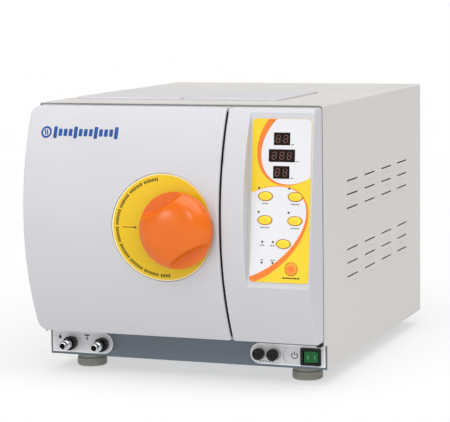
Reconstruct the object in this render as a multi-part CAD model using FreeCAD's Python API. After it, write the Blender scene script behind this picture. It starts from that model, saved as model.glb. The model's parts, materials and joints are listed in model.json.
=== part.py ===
import FreeCAD, Part
import math
import os

from FreeCAD import Vector

# Benchtop autoclave, drawn in millimetres.
# Drawing frame: X to the right, Y from the casing's front edge towards the rear, Z up.
# At export every piece moves along Y by Y_SHIFT and up by the depth of the soles below Z = 0, so the origin
# ends up in the middle of the footprint, at bench level.

# ---- driving dimensions -------------------------------------------------------------------------
CASE_W = 445.0           # width over the painted wrap
CASE_D = 541.0           # wrap, front edge to rear edge
CASE_H = 386.0           # wrap, bottom edge to top
FOOT_H = 20.0            # casing over the drawing's Z = 0
SOLE_Z = -4.0            # soles of the feet
SHEET = 1.2              # sheet steel
REAR_PROUD = 18.0        # rubber spacers that keep the rear off a wall

BOW_R = 352.0            # the door and the control housing share one bowed front
BOW_DEPTH = 67.0         # furthest point of the bow in front of the casing
BOW_Z = 238.0
FRONT_Z0 = 63.0          # lower edge of door and control housing
FRONT_Z1 = 403.0
FRONT_BACK = -5.0        # their rear edge
SHELL_T = 3.5            # moulded wall

DOOR_X1 = 87.0
PANEL_X0 = 90.0
PANEL_DRAFT = 6.0        # the housing's right side narrows by this over the bow

CHAMBER_X = -68.0
CHAMBER_Z = 215.0
CHAMBER_R = 123.0        # inside radius
CHAMBER_END = 372.0      # inside depth, at the middle of the dished end
VESSEL_T = 2.0
FLANGE_R = 142.0
JACKET_R = 144.0         # outside of the insulation
VESSEL_PORTS = ((0.0, 70.0), (0.0, -70.0))   # steam ports in the dished end, from its middle
TRAY_LEVELS = (CHAMBER_Z - 58.0, CHAMBER_Z - 6.0, CHAMBER_Z + 46.0)
RACK_HALF = 95.0

KNOB_X = 28.0
KNOB_Z = 231.0
KNOB_R = 55.5
KNOB_BASE = -71.0        # rear face of the knob
KNOB_TOP = -103.0        # crown of the knob
DISC_R = 78.5
DISC_RECESS = 3.0

PAD_X = 172.5            # middle of the flat keypad facet
PAD_Y = -43.25
PAD_Z = 274.0
PAD_TILT = 6.08          # degrees that the facet leans back
PAD_W = 88.2
PAD_TOP = 115.0
PAD_BOTTOM = -117.0
MEMBRANE_T = 1.0
BOARD_Y = 12.0           # front of the display board, behind the facet

HINGE_X = -212.5
HINGE_Y = -20.0
HINGE_Z = (118.0, 328.0)  # lower edge of each hinge
HINGE_H = 26.0
PIN_R = 4.0
RUN = 0.05               # radial running clearance of pins and shafts

BAR_ANGLE = 30.0         # slope of the knob's bar at rest
SCOOP_R = 150.0
BAR_HALF = 34.0          # from the knob's middle to the nearest edge of a scoop
SHAFT_R = 6.0
PINION_R = 8.0           # pitch radius
PINION_TEETH = 8
GEAR_TIP = 9.4
GEAR_ROOT = 6.5
TOOTH_AT_PITCH = 2.4
GEAR_Y = (-40.0, -31.0)
BOLT_TRAVEL = PINION_R * math.pi / 2
BOLT_HALF_H = 9.0        # the bolt's nose, half its height
BOLT_NOSE_Y = (-43.0, -29.0)
LOCK_PIN_X = 97.2
LOCK_PIN_R = 2.5
BEAM_Y = (-28.0, -11.5)  # the door frame's cross beam
BEAM_Z = (200.0, 257.0)

STRIP_Y = 17.0           # the base strip is set back from the casing's front edge
STRIP_TOP = 60.0
DRAIN_X = (-185.3, -133.4)
DRAIN_Z = 39.2
FUSE_X = (117.3, 139.4)
FUSE_Z = 39.0
SWITCH_X = 196.6
SWITCH_Z = 38.2
SWITCH_W = 31.0
SWITCH_H = 26.0
ROCKER_TILT = 8.0

FOOT_R = 23.0
FOOT_FRONT = (175.5, 65.0)
FOOT_REAR = (150.0, 470.0)

TANK = (-190.0, 112.0, 60.0, 460.0, 362.0, 398.0)   # x0, x1, y0, y1, z0, z1
TANK_MOUTH = (-150.0, 60.0, 110.0, 240.0)           # x0, x1, y0, y1
LID = (-203.0, 130.0, 80.0, 280.0)                  # x0, x1, y0, y1
LID_T = 2.8
LID_GAP = 0.2            # between the lid and the casing's top
NOTCH_X = -12.0          # middle of the finger notch
LID_HINGE_X = (-140.0, 60.0)
LID_HINGE_Y = LID[3] + 1.5
LID_PIN_R = 0.7
EAR_X = (-6.2, -3.2)     # the tank's hinge ear, from each hinge's middle

FAN_X = 130.0
FAN_Z = 300.0
INLET_X = 150.0
INLET_Z = 90.0

# key name, x and height on the facet
KEYS = {
    "key_program": (-22.4, 5.0),
    "key_temperature": (22.2, 5.0),
    "key_pressure": (-22.4, -29.0),
    "key_drying": (22.4, -29.0),
    "key_cycle": (6.0, -62.0),
}
KEY_W = 22.0
KEY_H = 13.0
START_KEY = (18.5, -97.0)
START_R = 9.3
KEY_PROUD = 0.9
LEDS = ((-32.3, 16.6), (12.8, 16.6), (-32.3, -17.5), (12.8, -17.5),
        (-25.8, -59.7), (-9.7, -59.7), (-25.8, -89.3), (-9.7, -89.3))
LED_R = 1.4
DISPLAYS = ((0.3, 86.7, 24.4, 18.0), (0.6, 62.9, 39.3, 18.0), (0.3, 39.3, 24.4, 18.0))

# ---- worked out from them -----------------------------------------------------------------------
HALF_W = CASE_W / 2
Z_PAN = FOOT_H
Z_TOP = FOOT_H + CASE_H
BOW_CY = BOW_R - BOW_DEPTH
REAR_Y = CASE_D + REAR_PROUD
Y_SHIFT = -(REAR_Y + KNOB_TOP) / 2
FLOOR_Z = Z_PAN + SHEET
VESSEL_R = CHAMBER_R + VESSEL_T
SHEET_X = HALF_W - SHEET - 0.3                # half width of sheets that fit inside the wrap
SHEET_CORNERS = (0.001, 0.001, 3.0, 3.0)      # and their corners, inside its bent ones
LID_Z = Z_TOP + LID_GAP
LID_HINGE_Z = LID_Z + LID_T / 2


# ---- helpers ------------------------------------------------------------------------------------
def export(name, shape):
    """Move one sub-part to the part's own frame and write it."""
    moved = shape.copy()
    moved.translate(Vector(0, Y_SHIFT, -SOLE_Z))
    moved.exportStep("parts/" + name + ".step")


def box(x0, x1, y0, y1, z0, z1):
    return Part.makeBox(x1 - x0, y1 - y0, z1 - z0, Vector(x0, y0, z0))


def rod_x(y, z, r, x0, x1):
    return Part.makeCylinder(r, x1 - x0, Vector(x0, y, z), Vector(1, 0, 0))


def rod_y(x, z, r, y0, y1):
    return Part.makeCylinder(r, y1 - y0, Vector(x, y0, z), Vector(0, 1, 0))


def rod_z(x, y, r, z0, z1):
    return Part.makeCylinder(r, z1 - z0, Vector(x, y, z0), Vector(0, 0, 1))


def ring_y(x, z, r_out, r_in, y0, y1):
    return rod_y(x, z, r_out, y0, y1).cut(rod_y(x, z, r_in, y0 - 1, y1 + 1))


def fuse(shapes):
    """One solid from overlapping shapes."""
    return shapes[0].fuse(shapes[1:]).removeSplitter()


def group(shapes):
    return Part.makeCompound(shapes)


def rounded_box_y(x0, x1, y0, y1, z0, z1, radii):
    """Block along Y whose corners are rounded; radii run lower left, lower right, upper right, upper left."""
    r0, r1, r2, r3 = radii
    h = math.sqrt(0.5)
    corners = [
        (Vector(x0, y0, z0 + r0), Vector(x0 + r0 * (1 - h), y0, z0 + r0 * (1 - h)), Vector(x0 + r0, y0, z0)),
        (Vector(x1 - r1, y0, z0), Vector(x1 - r1 * (1 - h), y0, z0 + r1 * (1 - h)), Vector(x1, y0, z0 + r1)),
        (Vector(x1, y0, z1 - r2), Vector(x1 - r2 * (1 - h), y0, z1 - r2 * (1 - h)), Vector(x1 - r2, y0, z1)),
        (Vector(x0 + r3, y0, z1), Vector(x0 + r3 * (1 - h), y0, z1 - r3 * (1 - h)), Vector(x0, y0, z1 - r3)),
    ]
    edges = []
    for index, (start, middle, end) in enumerate(corners):
        edges.append(Part.Arc(start, middle, end).toShape())
        following = corners[(index + 1) % 4][0]
        if end.distanceToPoint(following) > 1e-6:
            edges.append(Part.LineSegment(end, following).toShape())
    return Part.Face(Part.Wire(edges)).extrude(Vector(0, y1 - y0, 0))


def rounded_box_z(x0, x1, y0, y1, z0, z1, r):
    block = box(x0, x1, y0, y1, z0, z1)
    uprights = [e for e in block.Edges if abs(e.Vertexes[0].X - e.Vertexes[1].X) < 1e-6
                and abs(e.Vertexes[0].Y - e.Vertexes[1].Y) < 1e-6]
    return block.makeFillet(r, uprights)


def prism_y(points, y0, y1):
    """Straight-sided column along Y; points are (x, z)."""
    vectors = [Vector(x, y0, z) for x, z in points]
    return Part.Face(Part.makePolygon(vectors + [vectors[0]])).extrude(Vector(0, y1 - y0, 0))


def turned_y(points, x, z):
    """Solid of revolution about the line along Y through x, z; points are (radius, y), all straight runs."""
    vectors = [Vector(x + r, y, z) for r, y in points]
    face = Part.Face(Part.makePolygon(vectors + [vectors[0]]))
    return face.revolve(Vector(x, 0, z), Vector(0, 1, 0), 360)


def turned_z(points, x, y):
    vectors = [Vector(x + r, y, z) for r, z in points]
    face = Part.Face(Part.makePolygon(vectors + [vectors[0]]))
    return face.revolve(Vector(x, y, 0), Vector(0, 0, 1), 360)


def bow_y(z, inset=0.0):
    """Y of the bowed front at a height, for a surface inset behind it."""
    return BOW_CY - math.sqrt((BOW_R - inset) ** 2 - (z - BOW_Z) ** 2)


def bow_block(x0, x1, z0, z1, y_back, inset=0.0):
    """Block whose front face is the bow."""
    low = Vector(x0, bow_y(z0, inset), z0)
    middle = Vector(x0, bow_y((z0 + z1) / 2, inset), (z0 + z1) / 2)
    high = Vector(x0, bow_y(z1, inset), z1)
    edges = [
        Part.Arc(low, middle, high).toShape(),
        Part.LineSegment(high, Vector(x0, y_back, z1)).toShape(),
        Part.LineSegment(Vector(x0, y_back, z1), Vector(x0, y_back, z0)).toShape(),
        Part.LineSegment(Vector(x0, y_back, z0), low).toShape(),
    ]
    return Part.Face(Part.Wire(edges)).extrude(Vector(x1 - x0, 0, 0))


def bow_layer(front_inset, back_inset, x, z, r):
    """Round patch that follows the bow, between two insets."""
    span = (x - r - 1, x + r + 1, z - r - 1, z + r + 1, 0.0)
    layer = bow_block(*span, front_inset).cut(bow_block(*span, back_inset))
    return layer.common(rod_y(x, z, r, -BOW_DEPTH - 5, 0))


def soften_front(shape, radius):
    """Round the edges around the bowed front face."""
    front = max((f for f in shape.Faces if hasattr(f.Surface, "Radius")
                 and abs(f.Surface.Radius - BOW_R) < 0.01), key=lambda f: f.Area)
    return shape.makeFillet(radius, front.OuterWire.Edges)


def on_pad(shape):
    """Place a shape drawn flat on the keypad facet: x right, y into the housing, z up the facet."""
    placed = shape.copy()
    placed.rotate(Vector(0, 0, 0), Vector(1, 0, 0), -PAD_TILT)
    placed.translate(Vector(PAD_X, PAD_Y, PAD_Z))
    return placed


def oval_y(x, z, width, height, y0, y1):
    """Elliptical column along Y."""
    ellipse = Part.Ellipse(Vector(x, y0, z), width / 2, height / 2)
    edge = ellipse.toShape()
    edge.rotate(Vector(x, y0, z), Vector(1, 0, 0), 90)
    return Part.Face(Part.Wire([edge])).extrude(Vector(0, y1 - y0, 0))


def tube(points, r):
    """Bent pipe: straight runs with a ball at each turn."""
    runs = []
    for start, end in zip(points[:-1], points[1:]):
        a, b = Vector(*start), Vector(*end)
        runs.append(Part.makeCylinder(r, (b - a).Length, a, b - a))
    balls = [Part.makeSphere(r, Vector(*p)) for p in points[1:-1]]
    return fuse(runs + balls)


def screw_y(x, z, y_face, towards, r=2.0, head_r=3.8, length=8.0):
    """Pan-head screw whose head rests on y_face; towards is +1 or -1, the way the shank runs."""
    head = rod_y(x, z, head_r, min(y_face, y_face - 2.4 * towards), max(y_face, y_face - 2.4 * towards))
    end = y_face + length * towards
    shank = rod_y(x, z, r, min(y_face, end), max(y_face, end))
    slot_y = y_face - 2.4 * towards
    slot = box(x - head_r, x + head_r, slot_y - 0.9, slot_y + 0.9, z - 0.5, z + 0.5)
    return head.fuse(shank).cut(slot).removeSplitter()


# ---- casing and base ----------------------------------------------------------------------------
def louvre(side, y0, y1, z):
    """Slit in a side wall, and the shallow pressed lip below it; side is -1 or +1."""
    wall_x = side * HALF_W
    slit = box(wall_x - 3, wall_x + 3, y0, y1, z - 1.1, z + 1.1)
    rise = 1.3
    long_r = ((y1 - y0) ** 2 / 4 + rise ** 2) / (2 * rise)
    lip_r = (4.0 ** 2 + rise ** 2) / (2 * rise)
    roll = rod_z(wall_x + side * (rise - long_r), (y0 + y1) / 2, long_r, z - 9.1, z - 1.1)
    barrel = rod_y(wall_x + side * (rise - lip_r), z - 5.1, lip_r, y0, y1)
    keep = box(min(wall_x - side * 0.6, wall_x + side * 2), max(wall_x - side * 0.6, wall_x + side * 2),
               y0, y1, z - 9.1, z - 1.1)
    return slit, roll.common(barrel).common(keep)


def outer_casing():
    bend = 4.0
    outer = rounded_box_y(-HALF_W, HALF_W, 0, CASE_D, Z_PAN, Z_TOP, (0.001, 0.001, bend, bend))
    inner = rounded_box_y(-HALF_W + SHEET, HALF_W - SHEET, -1, CASE_D + 1, Z_PAN - 5, Z_TOP - SHEET,
                          (0.001, 0.001, bend - SHEET, bend - SHEET))
    wrap = outer.cut(inner)
    cuts = [box(LID[0] + 13, LID[1] - 13, LID[2] + 12, LID[3] - 8, Z_TOP - 5, Z_TOP + 5)]
    cuts += [box(x + EAR_X[0] - 0.8, x + EAR_X[1] + 0.8, LID[3] - 10, LID_HINGE_Y + 3.8, Z_TOP - 5, Z_TOP + 5)
             for x in LID_HINGE_X]
    lips = []
    for side in (-1, 1):
        wall = side * HALF_W
        cuts.append(box(wall - 3, wall + 3, -1, STRIP_Y, Z_PAN - 1, STRIP_TOP - 3))
        for first_row in (285.7, 182.7):
            for row in range(3):
                for column in range(4):
                    y0 = 115.0 + 93.3 * column
                    slit, lip = louvre(side, y0, y0 + 56.5, first_row - 20.6 * row)
                    cuts.append(slit)
                    lips.append(lip)
    return wrap.cut(cuts).fuse(lips).removeSplitter()


def base_pan():
    inside = SHEET_X
    floor = box(-inside, inside, STRIP_Y, CASE_D - SHEET, Z_PAN, FLOOR_Z)
    strip = box(-inside, inside, STRIP_Y, STRIP_Y + SHEET, Z_PAN, STRIP_TOP)
    ends = [box(min(s * inside, s * (inside - SHEET)), max(s * inside, s * (inside - SHEET)),
                STRIP_Y, CASE_D - SHEET, Z_PAN, Z_PAN + 22) for s in (-1, 1)]
    cheeks = [box(min(s * inside, s * (inside - SHEET)), max(s * inside, s * (inside - SHEET)),
                  STRIP_Y, STRIP_Y + 40, Z_PAN, STRIP_TOP) for s in (-1, 1)]
    pan = fuse([floor, strip] + ends + cheeks)
    cuts = [rod_y(x, DRAIN_Z, 8.3, 0, 30) for x in DRAIN_X]
    cuts += [rod_y(x, FUSE_Z, 6.3, 0, 30) for x in FUSE_X]
    cuts.append(box(SWITCH_X - 13.8, SWITCH_X + 13.8, 0, 30, SWITCH_Z - 11.2, SWITCH_Z + 11.2))
    cuts += [rod_z(x, y, 2.4, Z_PAN - 5, Z_PAN + 5) for x, y in foot_places()]
    for row in range(6):
        cuts.append(box(-60, 60, 200 + 30 * row, 206 + 30 * row, Z_PAN - 5, Z_PAN + 5))
    return pan.cut(cuts)


def foot_places():
    return [(side * x, y) for x, y in (FOOT_FRONT, FOOT_REAR) for side in (-1, 1)]


def foot(x, y):
    """Rubber foot with a groove around its middle and a recess for its screw."""
    outline = [(2.3, 4.0), (7.0, 4.0), (7.0, SOLE_Z), (FOOT_R - 5, SOLE_Z), (FOOT_R - 1.5, SOLE_Z + 3),
               (FOOT_R, SOLE_Z + 7), (FOOT_R, 10.6), (FOOT_R - 1.3, 11.0), (FOOT_R - 1.3, 12.4),
               (FOOT_R - 0.2, 12.8),
               (FOOT_R - 1.2, FOOT_H), (2.3, FOOT_H)]
    return turned_z(outline, x, y)


def foot_screw(x, y):
    head = rod_z(x, y, 5.0, 1.2, 4.0)
    shank = rod_z(x, y, 2.0, 4.0, FLOOR_Z + 5)
    nut = Part.makeCylinder(4.0, 3.0, Vector(x, y, FLOOR_Z), Vector(0, 0, 1))
    return fuse([head, shank, nut])


def rear_screw_places():
    inside = HALF_W - 12
    return [(s * inside, z) for s in (-1, 1) for z in (45.0, 160.0, 275.0, 390.0)]


def rear_panel():
    inside = SHEET_X
    sheet = rounded_box_y(-inside, inside, CASE_D - SHEET, CASE_D, Z_PAN, Z_TOP - SHEET - 0.3, SHEET_CORNERS)
    flange_y0 = CASE_D - 14
    wrap_flanges = [
        box(3 - inside, inside - 3, flange_y0, CASE_D, Z_TOP - 2 * SHEET - 0.3, Z_TOP - SHEET - 0.3),
        box(-inside, -inside + SHEET, flange_y0, CASE_D, Z_PAN + 23, Z_TOP - SHEET - 3.3),
        box(inside - SHEET, inside, flange_y0, CASE_D, Z_PAN + 23, Z_TOP - SHEET - 3.3),
    ]
    cuts = [rod_y(x, z, 2.2, CASE_D - 8, CASE_D + 5) for x, z in rear_screw_places()]
    cuts.append(box(INLET_X - 13.8, INLET_X + 13.8, CASE_D - 8, CASE_D + 5, INLET_Z - 10.3, INLET_Z + 10.3))
    pitch = 9.5
    for row in range(-4, 5):
        for column in range(-4, 5):
            x = FAN_X + pitch * (column + 0.5 * (row % 2))
            z = FAN_Z + pitch * math.sqrt(0.75) * row
            if math.hypot(x - FAN_X, z - FAN_Z) < 35:
                cuts.append(rod_y(x, z, 3.6, CASE_D - 8, CASE_D + 5))
    for row in range(6):
        z = 120.0 + 14.0 * row
        cuts.append(box(-150, -30, CASE_D - 8, CASE_D + 5, z, z + 4))
    cuts.append(rod_y(-100, 330, 9.5, CASE_D - 8, CASE_D + 5))
    return fuse([sheet] + wrap_flanges).cut(cuts)


def rear_bumper(x, z):
    return turned_y([(0, CASE_D), (9.0, CASE_D), (8.0, REAR_Y - 2), (6.5, REAR_Y), (0, REAR_Y)], x, z)


def front_frame():
    """Bulkhead behind the door and the control housing."""
    inside = SHEET_X
    plate = rounded_box_y(-inside, inside, 2.0, 3.5, STRIP_TOP + 0.5, Z_TOP - SHEET - 0.3, SHEET_CORNERS)
    shelf = box(-inside, inside, 2.0, STRIP_Y + 10, STRIP_TOP + 0.5, STRIP_TOP + 2)
    top = box(3 - inside, inside - 3, 2.0, 16.0, Z_TOP - SHEET - 1.8, Z_TOP - SHEET - 0.3)
    cuts = [
        rod_y(CHAMBER_X, CHAMBER_Z, FLANGE_R + 0.5, 0, 10),
        box(116, 206, 0, 10, 110, 360),
        rod_y(LOCK_PIN_X, KNOB_Z, LOCK_PIN_R + 1.5, 0, 10),
    ]
    return fuse([plate, shelf, top]).cut(cuts)


# ---- control housing and keypad -----------------------------------------------------------------
def draft_cut(offset):
    """Wedge that trims the housing's right side to its draft."""
    x_back = HALF_W - offset
    x_front = HALF_W - PANEL_DRAFT - offset
    points = [Vector(x_back, FRONT_BACK, 0), Vector(x_front, -BOW_DEPTH, 0), Vector(x_front, -120, 0),
              Vector(x_back + 60, -120, 0), Vector(x_back + 60, FRONT_BACK, 0)]
    face = Part.Face(Part.makePolygon(points + [points[0]]))
    return face.extrude(Vector(0, 0, 500))


def control_housing():
    t = SHELL_T
    corner = (3.0, 6.0, 6.0, 3.0)
    outer = bow_block(PANEL_X0, HALF_W, FRONT_Z0, FRONT_Z1, FRONT_BACK)
    outer = outer.common(rounded_box_y(PANEL_X0, HALF_W, -90, 10, FRONT_Z0, FRONT_Z1, corner))
    outer = outer.cut(draft_cut(0.0))
    outer = soften_front(outer, 3.0)
    facet = on_pad(box(-48.0, 80.0, -60, MEMBRANE_T, -200, 200))
    inner = bow_block(PANEL_X0 + t, HALF_W - t, FRONT_Z0 + t, FRONT_Z1 - t, FRONT_BACK + 1, t)
    inner = inner.cut(draft_cut(t)).cut(on_pad(box(-48.0 - t, 80.0, -60, MEMBRANE_T + t, -200, 200)))
    shell = outer.cut(facet).cut(inner)
    pillars = [rod_y(x, z, 4.5, bow_y(z) + 2, 2.0) for x in (104.0,) for z in (80.0, 386.0)]
    pillars += [rod_y(206.0, z, 4.5, bow_y(z) + 8, 2.0) for z in (80.0, 386.0)]
    window = on_pad(box(-38, 38, -5, 20, -109, 104))
    bolt_hole = box(PANEL_X0 - 1, PANEL_X0 + t + 1, -44.5, -27.5, KNOB_Z - 10, KNOB_Z + 10)
    return shell.fuse(pillars).cut([window, bolt_hole]).removeSplitter()


def keypad_membrane():
    half = PAD_W / 2
    sheet = rounded_box_y(-half, half, 0.02, MEMBRANE_T - 0.02, PAD_BOTTOM, PAD_TOP, (5, 5, 6, 6))
    cuts = [oval_y(x, z, KEY_W + 0.8, KEY_H + 0.8, -1, 2) for x, z in KEYS.values()]
    cuts.append(rod_y(START_KEY[0], START_KEY[1], START_R + 0.4, -1, 2))
    cuts += [rod_y(x, z, LED_R + 0.2, -1, 2) for x, z in LEDS]
    cuts += [box(x - w / 2, x + w / 2, -1, 2, z - h / 2, z + h / 2) for x, z, w, h in DISPLAYS]
    return on_pad(sheet.cut(cuts))


def display_board():
    board = box(-40, 40, BOARD_Y, BOARD_Y + 1.6, -108, 103)
    chip = box(-12, 8, BOARD_Y + 1.6, BOARD_Y + 4.6, 20, 40)
    plug = box(-30, -6, BOARD_Y + 1.6, BOARD_Y + 10, -80, -70)
    holes = [rod_y(x, z, 1.7, BOARD_Y - 1, BOARD_Y + 3) for x in (-36, 36) for z in (-104, 99)]
    return on_pad(fuse([board, chip, plug]).cut(holes))


def display_modules():
    return on_pad(group([box(x - w / 2 + 0.2, x + w / 2 - 0.2, 0.5, BOARD_Y, z - h / 2 + 0.2, z + h / 2 - 0.2)
                         for x, z, w, h in DISPLAYS]))


def indicator_leds():
    lights = []
    for x, z in LEDS:
        lights.append(fuse([rod_y(x, z, LED_R, 0.3, BOARD_Y), rod_y(x, z, LED_R + 0.4, 9.0, BOARD_Y)]))
    return on_pad(group(lights))


def key_places():
    return list(KEYS.values()) + [START_KEY]


def key_switches():
    """Push switches on the board, one behind each key."""
    switches = []
    for x, z in key_places():
        body = box(x - 3, x + 3, 7.0, BOARD_Y, z - 3, z + 3)
        switches.append(fuse([body, rod_y(x, z, 1.7, 5.3, 7.5)]))
    return on_pad(group(switches))


def oval_key(x, z):
    cap = oval_y(x, z, KEY_W, KEY_H, -KEY_PROUD, 2.0)
    cap = cap.makeFillet(0.5, [e for e in cap.Edges if e.CenterOfMass.y < -KEY_PROUD + 0.01])
    return on_pad(fuse([cap, rod_y(x, z, 3.0, 1.5, 4.4)]))


def start_key():
    x, z = START_KEY
    cap = rod_y(x, z, START_R, -KEY_PROUD, 2.0)
    cap = cap.makeFillet(0.5, [e for e in cap.Edges if e.CenterOfMass.y < -KEY_PROUD + 0.01])
    return on_pad(fuse([cap, rod_y(x, z, 3.0, 1.5, 4.4)]))


# ---- door ---------------------------------------------------------------------------------------
def hinge_notches(side_x):
    """Room in the door's left edge for the fixed hinge brackets."""
    return [box(-HALF_W - 1, side_x, -36, 1, z - 2, z + HINGE_H + 2) for z in HINGE_Z]


def door_cover():
    t = SHELL_T
    corner = (14.0, 4.0, 4.0, 14.0)
    outer = bow_block(-HALF_W, DOOR_X1, FRONT_Z0, FRONT_Z1, FRONT_BACK)
    outer = outer.common(rounded_box_y(-HALF_W, DOOR_X1, -90, 10, FRONT_Z0, FRONT_Z1, corner))
    outer = soften_front(outer, 3.0)
    inner = bow_block(-HALF_W + t, DOOR_X1 - t, FRONT_Z0 + t, FRONT_Z1 - t, FRONT_BACK + 1, t)
    inner = inner.common(rounded_box_y(-HALF_W + t, DOOR_X1 - t, -90, 10, FRONT_Z0 + t, FRONT_Z1 - t,
                                       (11.0, 1.0, 1.0, 11.0)))
    recess = bow_layer(-3.0, DISC_RECESS, 0.0, KNOB_Z, DISC_R + 0.8)
    backing = bow_layer(0.5, DISC_RECESS + t, 0.0, KNOB_Z, DISC_R + 5)
    bush_hole = rod_y(KNOB_X, KNOB_Z, 10.0, -90, -50)
    bolt_hole = box(DOOR_X1 - t - 1, DOOR_X1 + 1, -44, -28, KNOB_Z - 10, KNOB_Z + 10)
    bosses = [rod_y(x, z, 5.0, bow_y(z) + 2, -8.0) for x in (-150.0, 60.0) for z in (88.0, 380.0)]
    shell = outer.cut(inner).fuse([backing] + bosses)
    return shell.cut([recess, bush_hole, bolt_hole] + hinge_notches(-186)).removeSplitter()


def door_disc():
    disc = bow_layer(DISC_RECESS - 1.8, DISC_RECESS - 0.3, 0.0, KNOB_Z, DISC_R)
    return disc.cut(rod_y(KNOB_X, KNOB_Z, 12.5, -90, -50))


def door_lining():
    """Inner cover of the door, around the pressure plate."""
    sheet = rounded_box_y(-HALF_W + SHELL_T + 0.3, DOOR_X1 - SHELL_T - 0.3, -8.0, FRONT_BACK,
                          FRONT_Z0 + SHELL_T + 0.3, FRONT_Z1 - SHELL_T - 0.3, (10.5, 1.0, 1.0, 10.5))
    holes = [rod_y(x, z, 2.2, -20, 5) for x in (-150.0, 60.0) for z in (88.0, 380.0)]
    return sheet.cut([rod_y(CHAMBER_X, CHAMBER_Z, 137.0, -20, 5)] + holes + hinge_notches(-186))


def door_plate():
    """Stainless plate that closes the chamber, with a shallow raised centre for stiffness."""
    outline = [(0, -11.0), (134.0, -11.0), (135.0, -10.0), (135.0, -5.4), (112.0, -5.4), (104.0, -7.4),
               (0, -7.4)]
    return turned_y(outline, CHAMBER_X, CHAMBER_Z)


def door_frame():
    """Welded steel frame of the door: hinge leaves, post, cross beam and the bolt's guide."""
    post = box(-199, -176, BEAM_Y[0], BEAM_Y[1], 104, 368)
    beam = box(-178, 74, BEAM_Y[0], BEAM_Y[1], BEAM_Z[0], BEAM_Z[1])
    hollow = box(-174, 14, BEAM_Y[0] + 4, BEAM_Y[1] - 4, BEAM_Z[0] + 4, BEAM_Z[1] - 4)
    hub = rod_y(CHAMBER_X, CHAMBER_Z, 34, BEAM_Y[0] + 8, -11.0)
    parts = [post, beam, hub]
    bores = [rod_y(KNOB_X, KNOB_Z, SHAFT_R + RUN, -40, -20), hollow]
    for z in HINGE_Z:
        knuckle = rod_z(HINGE_X, HINGE_Y, 7.0, z + 6.5, z + HINGE_H - 6.5)
        leaf = box(HINGE_X, -190, HINGE_Y - 4, HINGE_Y + 4, z + 6.5, z + HINGE_H - 6.5)
        parts += [knuckle, leaf]
        bores.append(rod_z(HINGE_X, HINGE_Y, PIN_R + RUN, z, z + HINGE_H))
    guide = box(68, 80, -47, BEAM_Y[0] + 2, KNOB_Z - 14, KNOB_Z + 14)
    bores.append(box(64, 84, -43.6, BEAM_Y[0], KNOB_Z - 9.5, KNOB_Z + 9.5))
    return fuse(parts + [guide]).cut(bores)


def hinge_brackets():
    """Two fixed ears above and below each moving knuckle."""
    ears = []
    for z in HINGE_Z:
        plates = []
        for z0 in (z, z + HINGE_H - 6):
            plates.append(rod_z(HINGE_X, HINGE_Y, 6.5, z0, z0 + 6))
            plates.append(box(HINGE_X - 6.5, HINGE_X + 6.5, HINGE_Y, 2.0, z0, z0 + 6))
        plates.append(box(HINGE_X - 6.5, HINGE_X + 6.5, -1.0, 2.0, z, z + HINGE_H))
        ears.append(fuse(plates).cut(rod_z(HINGE_X, HINGE_Y, PIN_R, z - 1, z + HINGE_H + 1)))
    return group(ears)


def hinge_pins():
    return group([rod_z(HINGE_X, HINGE_Y, PIN_R, z - 1, z + HINGE_H + 1) for z in HINGE_Z])


# ---- knob, shaft and latch ----------------------------------------------------------------------
def lock_knob():
    """Domed knob with a scoop for the fingers on each side of a raised bar."""
    outline = [(SHAFT_R + RUN, KNOB_BASE), (50.0, KNOB_BASE), (53.0, -73.0), (55.0, -78.0), (KNOB_R, -84.0),
               (55.0, -88.5), (52.5, -93.0), (47.5, -96.5), (37.0, -99.5), (21.5, -102.0), (8.0, -102.9),
               (0.0, KNOB_TOP), (0.0, -86.0), (SHAFT_R + RUN, -86.0)]
    body = turned_y(outline, KNOB_X, KNOB_Z)
    scoop_floor = -84.0
    scoops = group([rod_y(KNOB_X, KNOB_Z + side * (BAR_HALF + SCOOP_R), SCOOP_R, KNOB_TOP - 5, scoop_floor)
                    for side in (-1, 1)])
    scoops.rotate(Vector(KNOB_X, 0, KNOB_Z), Vector(0, 1, 0), -BAR_ANGLE)
    return body.cut(scoops)


def knob_shaft():
    """Shaft with the pinion that drives the bolt."""
    shaft = rod_y(KNOB_X, KNOB_Z, SHAFT_R, -85.5, -21.0)
    teeth = [rod_y(KNOB_X, KNOB_Z, GEAR_ROOT, GEAR_Y[0], GEAR_Y[1])]
    root_half = TOOTH_AT_PITCH / 2 + 0.55
    tip_half = TOOTH_AT_PITCH / 2 - 0.5
    for index in range(PINION_TEETH):
        corners = [(-root_half, GEAR_ROOT - 1), (root_half, GEAR_ROOT - 1),
                   (tip_half, GEAR_TIP), (-tip_half, GEAR_TIP)]
        tooth = prism_y([(KNOB_X + x, KNOB_Z + z) for x, z in corners], GEAR_Y[0], GEAR_Y[1])
        tooth.rotate(Vector(KNOB_X, 0, KNOB_Z), Vector(0, 1, 0), index * 360.0 / PINION_TEETH)
        teeth.append(tooth)
    return fuse([shaft] + teeth)


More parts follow.
